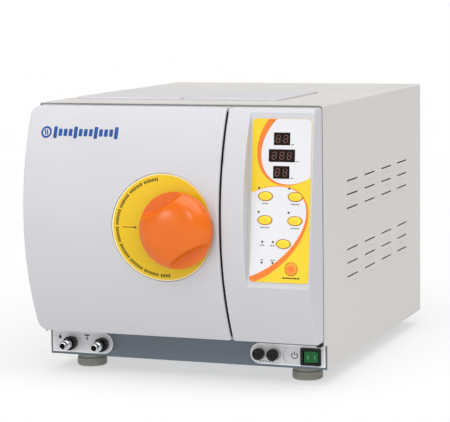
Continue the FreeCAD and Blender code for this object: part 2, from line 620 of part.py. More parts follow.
def latch_bolt():
    """Sliding frame around the pinion, with a rack along its upper edge and the bolt's nose."""
    pitch = 2 * math.pi * PINION_R / PINION_TEETH
    rack_z = KNOB_Z + PINION_R
    plate_y = (-39.5, -31.5)
    nose_x = DOOR_X1 + 2.4
    plate = box(-4, 53, plate_y[0], plate_y[1], KNOB_Z - 17, KNOB_Z + 17)
    window = box(4, 46, -45, -25, KNOB_Z - GEAR_TIP - 0.8, rack_z + 2.2)
    nose = box(50, nose_x, BOLT_NOSE_Y[0], BOLT_NOSE_Y[1], KNOB_Z - BOLT_HALF_H, KNOB_Z + BOLT_HALF_H)
    nose = nose.makeChamfer(1.5, [e for e in nose.Edges if e.CenterOfMass.x > nose_x - 0.1])
    frame = fuse([plate.cut(window), nose])
    teeth = []
    for index in range(-4, 2):
        x = KNOB_X + (index + 0.5) * pitch
        corners = [(x - 1.9, rack_z + 3), (x + 1.9, rack_z + 3),
                   (x + 0.6, rack_z - 1.3), (x - 0.6, rack_z - 1.3)]
        teeth.append(prism_y(corners, plate_y[0], plate_y[1]))
    pin_hole = rod_y(LOCK_PIN_X - BOLT_TRAVEL, KNOB_Z, LOCK_PIN_R + 0.5, -50, -20)
    return fuse([frame] + teeth).cut(pin_hole)


def knob_bush():
    sleeve = ring_y(KNOB_X, KNOB_Z, 9.95, SHAFT_R + RUN, -66.5, -54.0)
    collar = ring_y(KNOB_X, KNOB_Z, 13.0, SHAFT_R + RUN, -56.0, -54.0)
    return fuse([sleeve, collar])


def keeper():
    """Strike block behind the control housing's edge that takes the bolt's nose."""
    block = box(94.2, 106, -50, 2.0, KNOB_Z - 17, KNOB_Z + 17)
    slot = box(90, 110, BOLT_NOSE_Y[0] - 0.7, BOLT_NOSE_Y[1] + 0.7,
               KNOB_Z - BOLT_HALF_H - 0.7, KNOB_Z + BOLT_HALF_H + 0.7)
    bore = rod_y(LOCK_PIN_X, KNOB_Z, LOCK_PIN_R + RUN, -30, 5)
    return block.cut([slot, bore])


def lock_pin():
    pin = rod_y(LOCK_PIN_X, KNOB_Z, LOCK_PIN_R, -27.5, 44.0)
    return fuse([pin, rod_y(LOCK_PIN_X, KNOB_Z, 5.0, 40.0, 44.0)])


def lock_solenoid():
    """Coil behind the bulkhead that drives the lock pin forwards."""
    body = box(84, 111, 4.0, 28.0, KNOB_Z - 13, KNOB_Z + 13)
    return body.cut(rod_y(LOCK_PIN_X, KNOB_Z, LOCK_PIN_R + RUN, 0, 40))


# ---- pressure chamber ---------------------------------------------------------------------------
def dished_end(r, y_start, rise):
    """Points of a dished end, from its rim to its middle."""
    radius = (r ** 2 + rise ** 2) / (2 * rise)
    steps = 8
    points = []
    for index in range(steps + 1):
        reach = r * (1 - index / steps)
        points.append((reach, y_start + rise - radius + math.sqrt(radius ** 2 - reach ** 2)))
    return points


def chamber_vessel():
    end_y = 340.0
    rise = CHAMBER_END - end_y
    outside = dished_end(VESSEL_R, end_y, rise + VESSEL_T)
    inside = dished_end(CHAMBER_R, end_y, rise)
    points = [(CHAMBER_R, 12.0), (VESSEL_R, 12.0)] + outside + inside[::-1]
    shell = turned_y(points, CHAMBER_X, CHAMBER_Z)
    ports = [rod_y(CHAMBER_X + x, CHAMBER_Z + z, 3.9, 345, 390) for x, z in VESSEL_PORTS]
    return shell.cut(ports)


def chamber_flange():
    outline = [(CHAMBER_R, -3.0), (125.5, -3.0), (125.5, 0.0), (134.5, 0.0), (134.5, -3.0),
               (FLANGE_R - 4.5, -3.0), (FLANGE_R, 1.5), (FLANGE_R, 12.0), (CHAMBER_R, 12.0)]
    return turned_y(outline, CHAMBER_X, CHAMBER_Z)


def chamber_gasket():
    outline = [(126.0, 0.0), (126.0, -3.6), (127.2, -4.9), (132.8, -4.9), (134.0, -3.6), (134.0, 0.0)]
    return turned_y(outline, CHAMBER_X, CHAMBER_Z)


def heater_band():
    band = ring_y(CHAMBER_X, CHAMBER_Z, 127.4, VESSEL_R + 0.3, 60, 330)
    gap = box(CHAMBER_X - 8, CHAMBER_X + 8, 50, 340, CHAMBER_Z + 100, CHAMBER_Z + 140)
    return band.cut(gap)


def insulation_jacket():
    jacket = rod_y(CHAMBER_X, CHAMBER_Z, JACKET_R, 14, 394).cut(rod_y(CHAMBER_X, CHAMBER_Z, 128.0, 13, 380))
    return jacket.cut([rod_y(CHAMBER_X + x, CHAMBER_Z + z, 6.0, 370, 400) for x, z in VESSEL_PORTS])


def chamber_saddles():
    plates = []
    for y in (60.0, 330.0):
        plate = box(CHAMBER_X - 100, CHAMBER_X + 100, y, y + 3, FLOOR_Z, 130)
        foot_flange = box(CHAMBER_X - 100, CHAMBER_X + 100, y, y + 25, FLOOR_Z, FLOOR_Z + 3)
        room = rod_y(CHAMBER_X, CHAMBER_Z, JACKET_R + 0.4, y - 5, y + 30)
        plates.append(fuse([plate, foot_flange]).cut(room))
    return group(plates)


def tray_rack():
    parts = []
    for side in (-1, 1):
        x = CHAMBER_X + side * RACK_HALF
        wall = box(min(x, x - side * 1.5), max(x, x - side * 1.5), 20, 330, CHAMBER_Z - 70, CHAMBER_Z + 70)
        windows = [box(x - 5, x + 5, 45 + 95 * k, 115 + 95 * k, z + 22, z + 40)
                   for k in range(3) for z in TRAY_LEVELS[:2]]
        parts.append(wall.cut(windows))
        for z in TRAY_LEVELS:
            parts.append(box(min(x, x - side * 9), max(x, x - side * 9), 20, 330, z - 2.0, z - 0.5))
    for y in (28.0, 322.0):
        for z in (CHAMBER_Z - 68, CHAMBER_Z + 68):
            parts.append(rod_x(y, z, 2.0, CHAMBER_X - RACK_HALF + 0.5, CHAMBER_X + RACK_HALF - 0.5))
    return fuse(parts)


def trays():
    shells = []
    half = RACK_HALF - 3.0
    for z in TRAY_LEVELS:
        outer = rounded_box_z(CHAMBER_X - half, CHAMBER_X + half, 24, 318, z, z + 14, 9.0)
        inner = rounded_box_z(CHAMBER_X - half + 1, CHAMBER_X + half - 1, 25, 317, z + 1, z + 20, 8.0)
        slots = [box(CHAMBER_X - 60, CHAMBER_X + 60, 60 + 44 * k, 66 + 44 * k, z - 1, z + 2)
                 for k in range(6)]
        shells.append(outer.cut([inner] + slots))
    return group(shells)


# ---- water, steam and electrical parts ----------------------------------------------------------
def clean_water_tank():
    x0, x1, y0, y1, z0, z1 = TANK
    outer = rounded_box_z(x0, x1, y0, y1, z0, z1, 8.0)
    inner = rounded_box_z(x0 + 2.5, x1 - 2.5, y0 + 2.5, y1 - 2.5, z0 + 2.5, z1 - 2.5, 6.0)
    mouth = box(TANK_MOUTH[0], TANK_MOUTH[1], TANK_MOUTH[2], TANK_MOUTH[3], z1 - 5, z1 + 5)
    ears = [box(x + EAR_X[0], x + EAR_X[1], LID_HINGE_Y - 3, LID_HINGE_Y + 3, z1 - 1, LID_Z + LID_T)
            for x in LID_HINGE_X]
    holes = [rod_x(LID_HINGE_Y, LID_HINGE_Z, LID_PIN_R + RUN, x + EAR_X[0] - 1, x + EAR_X[1] + 1)
             for x in LID_HINGE_X]
    return outer.cut([inner, mouth]).fuse(ears).cut(holes).removeSplitter()


def tank_lid():
    """Filler lid with a finger notch in its front edge, and two barrels with pins at its rear edge."""
    x0, x1, y0, y1 = LID
    top = LID_Z + LID_T
    plate = rounded_box_z(x0, x1, y0, y1, LID_Z, top, 18.0)
    plate = plate.makeFillet(1.2, [e for e in plate.Edges if e.CenterOfMass.z > top - 0.1])
    cuts = [box(NOTCH_X - 16, NOTCH_X + 16, y0 - 1, y0 + 13, LID_Z + 1.0, top + 1)]
    barrels = []
    for x in LID_HINGE_X:
        cuts.append(box(x + EAR_X[0] - 0.6, x + EAR_X[1] + 0.6, y1 - 3, y1 + 1, LID_Z - 1, top + 1))
        barrels.append(box(x - 2.5, x + 6.0, y1 - 2, LID_HINGE_Y, LID_Z, top))
        barrels.append(rod_x(LID_HINGE_Y, LID_HINGE_Z, LID_T / 2, x - 2.5, x + 6.0))
        barrels.append(rod_x(LID_HINGE_Y, LID_HINGE_Z, LID_PIN_R, x + EAR_X[0], x))
    return plate.cut(cuts).fuse(barrels).removeSplitter()


def used_water_tank():
    outer = rounded_box_z(118, 216, 270, 470, 150, 250, 8.0)
    inner = rounded_box_z(120.5, 213.5, 272.5, 467.5, 152.5, 247.5, 6.0)
    spout = rod_z(140, 300, 6.0, 249, 262).cut(rod_z(140, 300, 4.0, 240, 270))
    return outer.cut([inner, rod_z(140, 300, 4.0, 240, 270)]).fuse(spout).removeSplitter()


def water_pump():
    motor = rod_y(150, 70, 22, 330, 392)
    head = box(126, 174, 392.0, 420, 46, 94)
    bracket = box(130, 170, 335, 385, FLOOR_Z, 52)
    ports = [rod_x(406, 60, 4.0, 114, 128), rod_x(406, 80, 4.0, 114, 128)]
    return fuse([motor, head, bracket] + ports)


def steam_valves():
    """Fill, exhaust and release valves in a row, with the relief valve on the rear panel."""
    valves = []
    for x in (-150.0, -100.0, -50.0):
        body = box(x - 11, x + 11, 440, 470, FLOOR_Z + 20, FLOOR_Z + 44)
        coil = rod_z(x, 455, 14, FLOOR_Z + 44.0, FLOOR_Z + 84)
        stand = box(x - 15, x + 15, 445, 465, FLOOR_Z, FLOOR_Z + 20)
        valves.append(fuse([body, coil, stand]))
    relief = fuse([rod_y(-100, 330, 9.0, 500, CASE_D + 12), rod_y(-100, 330, 13.0, CASE_D, CASE_D + 6)])
    valves.append(relief)
    return group(valves)


def steam_pipes():
    r = 3.5
    upper_z = CHAMBER_Z + VESSEL_PORTS[0][1]
    lower_z = CHAMBER_Z + VESSEL_PORTS[1][1]
    release = tube([(CHAMBER_X, 364, upper_z), (CHAMBER_X, 412, upper_z),
                    (-100, 430, 330), (-100, 500, 330)], r)
    drain = tube([(CHAMBER_X, 364, lower_z), (CHAMBER_X, 425, lower_z),
                  (-100, 425, 54), (-100, 440, 54)], r)
    return group([release, drain])


def power_board():
    board = box(198, 199.6, 40, 240, 120, 340)
    parts = [
        box(166, 198, 60, 120, 250, 320),
        box(178, 198, 140, 160, 280, 306),
        box(178, 198, 170, 190, 280, 306),
        rod_x(80, 160, 13, 165, 198),
        rod_x(115, 160, 13, 165, 198),
        box(184, 198, 150, 230, 140, 150),
    ]
    standoffs = [rod_x(y, z, 3.0, 199.6, HALF_W - SHEET - 0.3) for y in (50, 230) for z in (130, 330)]
    return fuse([board] + parts + standoffs)


def cooling_fan_housing():
    y0, y1 = CASE_D - SHEET - 26, CASE_D - SHEET - 0.3
    body = rounded_box_y(FAN_X - 40, FAN_X + 40, y0, y1, FAN_Z - 40, FAN_Z + 40, (4, 4, 4, 4))
    duct = rod_y(FAN_X, FAN_Z, 38.0, y0 - 1, y1 + 1)
    spider = [box(FAN_X - 39, FAN_X + 39, y0, y0 + 2.5, FAN_Z - 2.5, FAN_Z + 2.5),
              box(FAN_X - 2.5, FAN_X + 2.5, y0, y0 + 2.5, FAN_Z - 39, FAN_Z + 39),
              rod_y(FAN_X, FAN_Z, 15.0, y0, y0 + 2.5),
              rod_y(FAN_X, FAN_Z, 2.0, y0 + 2, y0 + 18)]
    return fuse([body.cut(duct)] + spider)


def fan_rotor():
    y0 = CASE_D - SHEET - 26 + 4
    hub = rod_y(FAN_X, FAN_Z, 15.0, y0, y0 + 17)
    blades = []
    for index in range(7):
        blade = box(FAN_X - 1.0, FAN_X + 1.0, y0 + 1, y0 + 16, FAN_Z + 13, FAN_Z + 36)
        blade.rotate(Vector(FAN_X, y0 + 8.5, FAN_Z + 24), Vector(0, 0, 1), 38)
        blade.rotate(Vector(FAN_X, 0, FAN_Z), Vector(0, 1, 0), index * 360.0 / 7)
        blades.append(blade)
    return fuse([hub] + blades).cut(rod_y(FAN_X, FAN_Z, 2.0 + RUN, y0 - 1, y0 + 15))


def mains_inlet():
    flange = rounded_box_y(INLET_X - 25, INLET_X + 25, CASE_D, CASE_D + 3,
                           INLET_Z - 12, INLET_Z + 12, (6, 6, 6, 6))
    body = box(INLET_X - 13.5, INLET_X + 13.5, CASE_D - 22, CASE_D + 1, INLET_Z - 10, INLET_Z + 10)
    cavity = box(INLET_X - 12, INLET_X + 12, CASE_D - 15, CASE_D + 5, INLET_Z - 8.2, INLET_Z + 8.2)
    blades = [box(INLET_X + x - 1, INLET_X + x + 1, CASE_D - 16, CASE_D - 1, INLET_Z + z - 2, INLET_Z + z + 2)
              for x, z in ((-7, -2), (0, 2), (7, -2))]
    return fuse([fuse([flange, body]).cut(cavity)] + blades)


# ---- fittings on the base strip -----------------------------------------------------------------
def strip_labels():
    """Two thin printed plates, each with one end rounded off."""
    drain = rounded_box_y(-218.5, -118.5, STRIP_Y - 0.8, STRIP_Y, 23.5, 56.0, (1, 16, 16, 1))
    drain = drain.cut([rod_y(x, DRAIN_Z, 8.3, 0, 30) for x in DRAIN_X])
    mains = rounded_box_y(103.0, 218.5, STRIP_Y - 0.8, STRIP_Y, 23.5, 54.5, (15, 1, 1, 15))
    mains = mains.cut([rod_y(x, FUSE_Z, 6.3, 0, 30) for x in FUSE_X])
    mains = mains.cut(box(SWITCH_X - 13.8, SWITCH_X + 13.8, 0, 30, SWITCH_Z - 11.2, SWITCH_Z + 11.2))
    return group([drain, mains])


def drain_valves():
    """Valve barrels through the strip, each ending in a hose nozzle."""
    valves = []
    for x in DRAIN_X:
        outline = [(0, 40.0), (8.0, 40.0), (8.0, 12.0), (5.0, 12.0), (5.0, -1.4), (6.9, -2.2), (7.7, -3.5),
                   (7.7, -9.4), (7.1, -10.4), (6.2, -11.4), (6.2, -20.6), (5.2, -21.5),
                   (4.5, -21.3), (4.4, -14.0), (3.2, -13.0), (3.2, 36.0), (0, 36.0)]
        valves.append(turned_y(outline, x, DRAIN_Z))
    return group(valves)


def drain_ring(x):
    """Ribbed ring that is turned by hand to open the drain."""
    body = ring_y(x, DRAIN_Z, 10.2, 5.0 + RUN, 1.0, 11.6)
    ribs = []
    for index in range(18):
        rib = rod_y(x + 10.1, DRAIN_Z, 0.7, 2.0, 11.6)
        rib.rotate(Vector(x, 0, DRAIN_Z), Vector(0, 1, 0), index * 20.0)
        ribs.append(rib)
    return fuse([body] + ribs)


def fuse_holders():
    holders = []
    for x in FUSE_X:
        barrel = ring_y(x, FUSE_Z, 6.0, 4.6, 14.0, 48.0)
        nut = ring_y(x, FUSE_Z, 9.0, 6.0, STRIP_Y + SHEET, STRIP_Y + SHEET + 4)
        holders.append(fuse([barrel, nut, rod_y(x, FUSE_Z, 6.0, 47.0, 50.0)]))
    return group(holders)


def fuse_cap(x):
    """Bayonet cap that carries the fuse, with a coin slot across its face."""
    head = rod_y(x, FUSE_Z, 8.7, 5.5, 13.6)
    head = head.makeFillet(1.6, [e for e in head.Edges if e.CenterOfMass.y < 5.6])
    stem = rod_y(x, FUSE_Z, 4.5, 13.0, 24.0)
    slot = box(x - 6.5, x + 6.5, 4.0, 7.2, FUSE_Z - 0.9, FUSE_Z + 0.9)
    return fuse([head, stem]).cut(slot)


def power_switch_body():
    x0, x1 = SWITCH_X - SWITCH_W / 2, SWITCH_X + SWITCH_W / 2
    z0, z1 = SWITCH_Z - SWITCH_H / 2, SWITCH_Z + SWITCH_H / 2
    bezel = rounded_box_y(x0, x1, STRIP_Y - 3.4, STRIP_Y - 0.8, z0, z1, (2, 2, 2, 2))
    body = box(SWITCH_X - 13.5, SWITCH_X + 13.5, STRIP_Y - 1.5, STRIP_Y + 22, SWITCH_Z - 11, SWITCH_Z + 11)
    well = box(SWITCH_X - 11.6, SWITCH_X + 11.6, STRIP_Y - 10, STRIP_Y + 14, SWITCH_Z - 8.9, SWITCH_Z + 8.9)
    pivots = [rod_z(SWITCH_X, STRIP_Y + 4, 1.5, SWITCH_Z + s * 7.4 - 1.6, SWITCH_Z + s * 7.4 + 1.6)
              for s in (-1, 1)]
    return fuse([fuse([bezel, body]).cut(well)] + pivots)


def power_rocker():
    """Rocker, pressed in on its right half."""
    pivot_y = STRIP_Y + 4
    points = [Vector(SWITCH_X - 10.3, pivot_y - 8.2, 0), Vector(SWITCH_X, pivot_y - 6.6, 0),
              Vector(SWITCH_X + 10.3, pivot_y - 8.2, 0), Vector(SWITCH_X + 10.0, pivot_y + 1, 0),
              Vector(SWITCH_X, pivot_y + 5, 0), Vector(SWITCH_X - 10.0, pivot_y + 1, 0)]
    height = 16.6
    body = Part.Face(Part.makePolygon(points + [points[0]])).extrude(Vector(0, 0, height))
    body.translate(Vector(0, 0, SWITCH_Z - height / 2))
    body = body.cut(rod_z(SWITCH_X, pivot_y, 1.5 + RUN, SWITCH_Z - 20, SWITCH_Z + 20))
    body.rotate(Vector(SWITCH_X, pivot_y, SWITCH_Z), Vector(0, 0, 1), ROCKER_TILT)
    return body


def corner_bumper():
    """Small rubber bumper under the control housing's outer corner."""
    return rounded_box_y(212.5, 221.0, -8.0, 2.0, 57.5, 62.6, (2, 2, 2, 2))


# ---- write every sub-part -----------------------------------------------------------------------
os.makedirs("parts", exist_ok=True)

SINGLE = [
    outer_casing, base_pan, rear_panel, front_frame, control_housing, keypad_membrane, display_board,
    display_modules, indicator_leds, key_switches, start_key, door_cover, door_disc, door_lining, door_plate,
    door_frame, hinge_brackets, hinge_pins, lock_knob, knob_shaft, latch_bolt, knob_bush, keeper, lock_pin,
    lock_solenoid, chamber_vessel, chamber_flange, chamber_gasket, heater_band, insulation_jacket,
    chamber_saddles, tray_rack, trays, clean_water_tank, tank_lid, used_water_tank, water_pump, steam_valves,
    steam_pipes, power_board, cooling_fan_housing, fan_rotor, mains_inlet, strip_labels, drain_valves,
    fuse_holders, power_switch_body, power_rocker,
]
for make in SINGLE:
    export(make.__name__, make())
for name, (x, z) in KEYS.items():
    export(name, oval_key(x, z))
for name, x in zip(("drain_ring_left", "drain_ring_right"), DRAIN_X):
    export(name, drain_ring(x))
for name, x in zip(("fuse_cap_left", "fuse_cap_right"), FUSE_X):
    export(name, fuse_cap(x))
export("feet", group([foot(x, y) for x, y in foot_places()]))
SCREWS = [foot_screw(x, y) for x, y in foot_places()]
SCREWS += [screw_y(x, z, CASE_D, -1) for x, z in rear_screw_places()]
export("case_screws", group(SCREWS))
BUMPERS = [rear_bumper(s * 185.0, z) for s in (-1, 1) for z in (60.0, 365.0)]
export("bumpers", group(BUMPERS + [corner_bumper()]))
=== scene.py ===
"""The looks of a benchtop autoclave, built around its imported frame. Metres, +Z up, -Y out of the front."""

from __future__ import annotations

import json
import logging
import math
import sys
from dataclasses import dataclass, field
from enum import Enum
from functools import partial
from typing import Callable, Iterable, Sequence

import bmesh
import bpy
from mathutils import Matrix, Vector
from mathutils.geometry import delaunay_2d_cdt

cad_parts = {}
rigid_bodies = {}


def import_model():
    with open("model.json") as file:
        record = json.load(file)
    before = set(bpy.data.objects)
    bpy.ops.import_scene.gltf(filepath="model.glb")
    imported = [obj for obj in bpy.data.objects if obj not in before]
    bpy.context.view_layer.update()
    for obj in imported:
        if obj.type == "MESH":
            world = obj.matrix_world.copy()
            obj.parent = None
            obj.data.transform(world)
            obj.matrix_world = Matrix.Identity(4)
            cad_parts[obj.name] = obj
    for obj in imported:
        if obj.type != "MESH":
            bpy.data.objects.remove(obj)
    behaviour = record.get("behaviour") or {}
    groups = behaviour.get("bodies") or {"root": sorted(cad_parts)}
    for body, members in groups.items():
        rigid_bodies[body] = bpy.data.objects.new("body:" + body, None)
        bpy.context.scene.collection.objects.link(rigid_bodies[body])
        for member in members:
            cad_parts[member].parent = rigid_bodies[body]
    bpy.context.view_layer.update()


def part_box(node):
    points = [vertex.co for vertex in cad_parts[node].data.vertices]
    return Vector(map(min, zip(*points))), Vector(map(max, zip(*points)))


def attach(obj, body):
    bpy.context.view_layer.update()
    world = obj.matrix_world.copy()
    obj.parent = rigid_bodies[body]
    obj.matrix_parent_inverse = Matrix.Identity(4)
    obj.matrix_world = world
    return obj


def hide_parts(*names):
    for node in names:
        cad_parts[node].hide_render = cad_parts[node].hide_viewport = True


LOG = logging.getLogger("autoclave")
MM = 0.001

Colour = tuple[float, float, float]
Point = tuple[float, float]


class Body(Enum):
    """The moving bodies that pieces ride on."""

    CHASSIS = "chassis"
    DOOR = "door"
    KNOB = "knob"
    ROCKER = "power_rocker"
    RING_LEFT = "drain_ring_left"
    RING_RIGHT = "drain_ring_right"
    KEY_PROGRAM = "key_program"
    KEY_TEMPERATURE = "key_temperature"
    KEY_PRESSURE = "key_pressure"
    KEY_DRYING = "key_drying"
    KEY_CYCLE = "key_cycle"
    START_KEY = "start_key"


def srgb(red: float, green: float, blue: float) -> Colour:
    """A screen colour of 0 to 255 as linear light.

    Args:
        red: Red on the screen.
        green: Green on the screen.
        blue: Blue on the screen.

    Returns:
        The three linear numbers.
    """
    return tuple(c / 12.92 if c <= 0.04045 else ((c + 0.055) / 1.055) ** 2.4
                 for c in (red / 255, green / 255, blue / 255))


# ---- shader trees -------------------------------------------------------------------------------
class Value:
    """A number in a shader tree. Arithmetic on it adds Math nodes."""

    def __init__(self, graph: Graph, socket: bpy.types.NodeSocket) -> None:
        """Wrap a socket of graph."""
        self.graph = graph
        self.socket = socket

    def _math(self, operation: str, first: Number, second: Number) -> Value:
        """One Math node."""
        made = self.graph.node("ShaderNodeMath", {"operation": operation}, {0: first, 1: second})
        return Value(self.graph, made.outputs[0])

    def __add__(self, other: Number) -> Value:
        """Sum."""
        return self._math("ADD", self, other)

    __radd__ = __add__

    def __sub__(self, other: Number) -> Value:
        """Difference."""
        return self._math("SUBTRACT", self, other)

    def __rsub__(self, other: Number) -> Value:
        """Difference from a plain number."""
        return self._math("SUBTRACT", other, self)

    def __mul__(self, other: Number) -> Value:
        """Product."""
        return self._math("MULTIPLY", self, other)

    __rmul__ = __mul__

    def __pow__(self, other: Number) -> Value:
        """Power."""
        return self._math("POWER", self, other)

    def between(self, low: float, high: float) -> Value:
        """A ramp.

        Args:
            low: Where the ramp starts at 0.
            high: Where it ends at 1.

        Returns:
            The ramp as a value from 0 to 1.
        """
        made = self.graph.node("ShaderNodeMapRange", {"clamp": True}, {0: self, 1: low, 2: high})
        return Value(self.graph, made.outputs[0])


Number = float | Value


class Graph:
    """The nodes of one material."""

    def __init__(self, name: str) -> None:
        """Start a material that holds one Principled shader.

        Args:
            name: The material's name.
        """
        self.material = bpy.data.materials.new(name)
        self.material.use_nodes = True
        self.tree = self.material.node_tree
        self.tree.nodes.clear()
        self.shader = self.node("ShaderNodeBsdfPrincipled")
        self.node("ShaderNodeOutputMaterial", {}, {"Surface": self.shader.outputs[0]})
        self.place = self.node("ShaderNodeTexCoord").outputs["Object"]

    def node(self, kind: str, settings: dict | None = None,
             inputs: dict | None = None) -> bpy.types.Node:
        """Add a node.

        Args:
            kind: Its type.
            settings: Its properties, set before the sockets.
            inputs: Values or links of its sockets, by name or number.

        Returns:
            The node.
        """
        made = self.tree.nodes.new(kind)
        for key, value in (settings or {}).items():
            setattr(made, key, value)
        for key, value in (inputs or {}).items():
            self.feed(made.inputs[key], value)
        return made

    def feed(self, socket: bpy.types.NodeSocket, value: object) -> None:
        """Set or link one input socket.

        Args:
            socket: The socket.
            value: A plain value, a colour, a Value or a socket to link.
        """
        if isinstance(value, Value):
            value = value.socket
        if isinstance(value, bpy.types.NodeSocket):
            self.tree.links.new(value, socket)
        elif isinstance(value, tuple) and socket.type == "RGBA":
            socket.default_value = (*value, 1.0)
        else:
            socket.default_value = value

    def moved(self, centre: Vector, turn: Sequence[float] = (0, 0, 0),
              size: Sequence[float] = (1, 1, 1)) -> bpy.types.NodeSocket:
        """Object coordinates seen from a place on the piece.

        Args:
            centre: The new origin.
            turn: Turn of the new axes, in radians.
            size: What counts as 1 along each new axis.

        Returns:
            The vector socket.
        """
        made = self.node("ShaderNodeMapping", {"vector_type": "TEXTURE"},
                         {"Vector": self.place, "Location": tuple(centre), "Rotation": turn, "Scale": size})
        return made.outputs[0]

    def axes(self, vector: bpy.types.NodeSocket) -> tuple[Value, Value, Value]:
        """The three numbers of a vector."""
        made = self.node("ShaderNodeSeparateXYZ", {}, {0: vector})
        return tuple(Value(self, out) for out in made.outputs)

    def noise(self, size: float, detail: float = 2.0, vector: bpy.types.NodeSocket | None = None,
              stretch: Sequence[float] | None = None) -> Value:
        """Cloudy noise around 0.5.

        Args:
            size: Size of its features in metres.
            detail: How many finer layers it has.
            vector: Coordinates, or the piece's own.
            stretch: Factors that lengthen the features along each axis.

        Returns:
            The noise.
        """
        where = vector or self.place
        if stretch:
            where = self.node("ShaderNodeMapping", {"vector_type": "TEXTURE"},
                              {"Vector": where, "Scale": tuple(stretch)}).outputs[0]
        made = self.node("ShaderNodeTexNoise", {}, {"Vector": where, "Scale": 1 / size, "Detail": detail})
        return Value(self, made.outputs[0])

    def cells(self, size: float, randomness: float = 1.0, feature: str = "F1") -> Value:
        """Distance field of scattered cells of a size in metres."""
        made = self.node("ShaderNodeTexVoronoi", {"feature": feature},
                         {"Vector": self.place, "Scale": 1 / size, "Randomness": randomness})
        return Value(self, made.outputs["Distance"])

    def blend(self, factor: Number, first: object, second: object) -> bpy.types.NodeSocket:
        """Mix two colours.

        Args:
            factor: Share of the second.
            first: A colour or a socket.
            second: A colour or a socket.

        Returns:
            The colour socket.
        """
        made = self.node("ShaderNodeMix", {"data_type": "RGBA"}, {0: factor, 6: first, 7: second})
        return made.outputs[2]

    def relief(self, height: Value, depth: float) -> None:
        """Bump the surface by height times depth in metres."""
        made = self.node("ShaderNodeBump", {}, {"Height": height, "Distance": depth, "Strength": 1.0})
        self.feed(self.shader.inputs["Normal"], made.outputs[0])

    def set(self, **inputs: object) -> None:
        """Set the shader's sockets, whose names are written with _ for a space."""
        for key, value in inputs.items():
            self.feed(self.shader.inputs[key.replace("_", " ")], value)


# ---- finishes -----------------------------------------------------------------------------------
@dataclass(frozen=True)
class Finish:
    """One colour with fine grain, slow mottling and unevenly worn gloss. Sizes are in millimetres."""

    name: str
    colour: Colour
    roughness: float
    grain: float = 0.6
    grain_depth: float = 0.01
    mottle: float = 0.03
    mottle_size: float = 70.0
    smudge: float = 0.08
    uniform: dict = field(default_factory=dict, hash=False)

    def build(self) -> bpy.types.Material:
        """Make the material, or give the one already made.

        Returns:
            The material.
        """
        found = bpy.data.materials.get(self.name)
        if found and found.get("finished"):
            return found
        graph = Graph(self.name)
        graph.material["finished"] = True
        slow = graph.noise(self.mottle_size * MM, 3.0)
        graph.set(Base_Color=self.tint(graph, slow), Roughness=self.gloss(graph, slow), **self.uniform)
        graph.relief(self.height(graph), self.grain_depth * MM)
        graph.material.diffuse_color = (*self.colour, 1.0)
        return graph.material

    def tint(self, graph: Graph, slow: Value) -> bpy.types.NodeSocket:
        """Base colour: the colour, a little darker and lighter over the surface.

        Args:
            graph: The material's nodes.
            slow: Slow noise over the surface.

        Returns:
            The colour socket.
        """
        dark = tuple(c * (1 - self.mottle) for c in self.colour)
        light = tuple(min(1.0, c * (1 + self.mottle)) for c in self.colour)
        return graph.blend(slow.between(0.3, 0.7), dark, light)

    def gloss(self, graph: Graph, slow: Value) -> Value:
        """Roughness, with smudges."""
        return (graph.noise(9 * MM, 4.0) * 0.5 + slow * 0.5 - 0.5) * self.smudge * 2 + self.roughness

    def height(self, graph: Graph) -> Value:
        """Relief from 0 to 1."""
        return graph.noise(self.grain * MM, 2.0)


@dataclass(frozen=True)
class TexturedPaint(Finish):
    """Stoved paint with the pimpled skin of a powder coat and sparse darker specks."""

    speck: float = 0.10

    def tint(self, graph: Graph, slow: Value) -> bpy.types.NodeSocket:
        """Base colour with specks."""
        plain = Finish.tint(self, graph, slow)
        specks = graph.cells(2.2 * MM).between(0.16, 0.06)
        return graph.blend(specks * self.speck, plain, tuple(c * 0.4 for c in self.colour))

    def height(self, graph: Graph) -> Value:
        """Pimples and a slower orange peel."""
        pimples = graph.cells(self.grain * MM).between(0.75, 0.1)
        return pimples * 0.6 + graph.noise(self.grain * 4 * MM, 1.0) * 0.4


@dataclass(frozen=True)
class Brushed(Finish):
    """Metal with scratches along one axis."""

    along: int = 0

    def scratches(self, graph: Graph) -> Value:
        """Fine noise drawn out along the axis."""
        stretch = [1.0, 1.0, 1.0]
        stretch[self.along] = 60.0
        return graph.noise(self.grain * MM, 3.0, stretch=stretch)

    def gloss(self, graph: Graph, slow: Value) -> Value:
        """Roughness that follows the scratches."""
        return self.scratches(graph) * 0.18 + slow * self.smudge + (self.roughness - 0.09 - self.smudge / 2)

    def height(self, graph: Graph) -> Value:
        """The scratches themselves."""
        return self.scratches(graph)


@dataclass(frozen=True)
class Lathed(Finish):
    """Metal with turning marks about a line along Y."""

    centre: tuple[float, float, float] = (0.0, 0.0, 0.0)

    def rings(self, graph: Graph) -> Value:
        """Noise that changes only with the distance from the line."""
        x, _, z = graph.axes(graph.moved(Vector(self.centre)))
        radius = (x * x + z * z) ** 0.5
        spread = graph.node("ShaderNodeCombineXYZ", {}, {"X": radius})
        return graph.noise(self.grain * MM, 3.0, vector=spread.outputs[0])

    def gloss(self, graph: Graph, slow: Value) -> Value:
        """Roughness that follows the rings."""
        return self.rings(graph) * 0.2 + slow * self.smudge + (self.roughness - 0.1 - self.smudge / 2)

    def height(self, graph: Graph) -> Value:
        """The rings themselves."""
        return self.rings(graph)


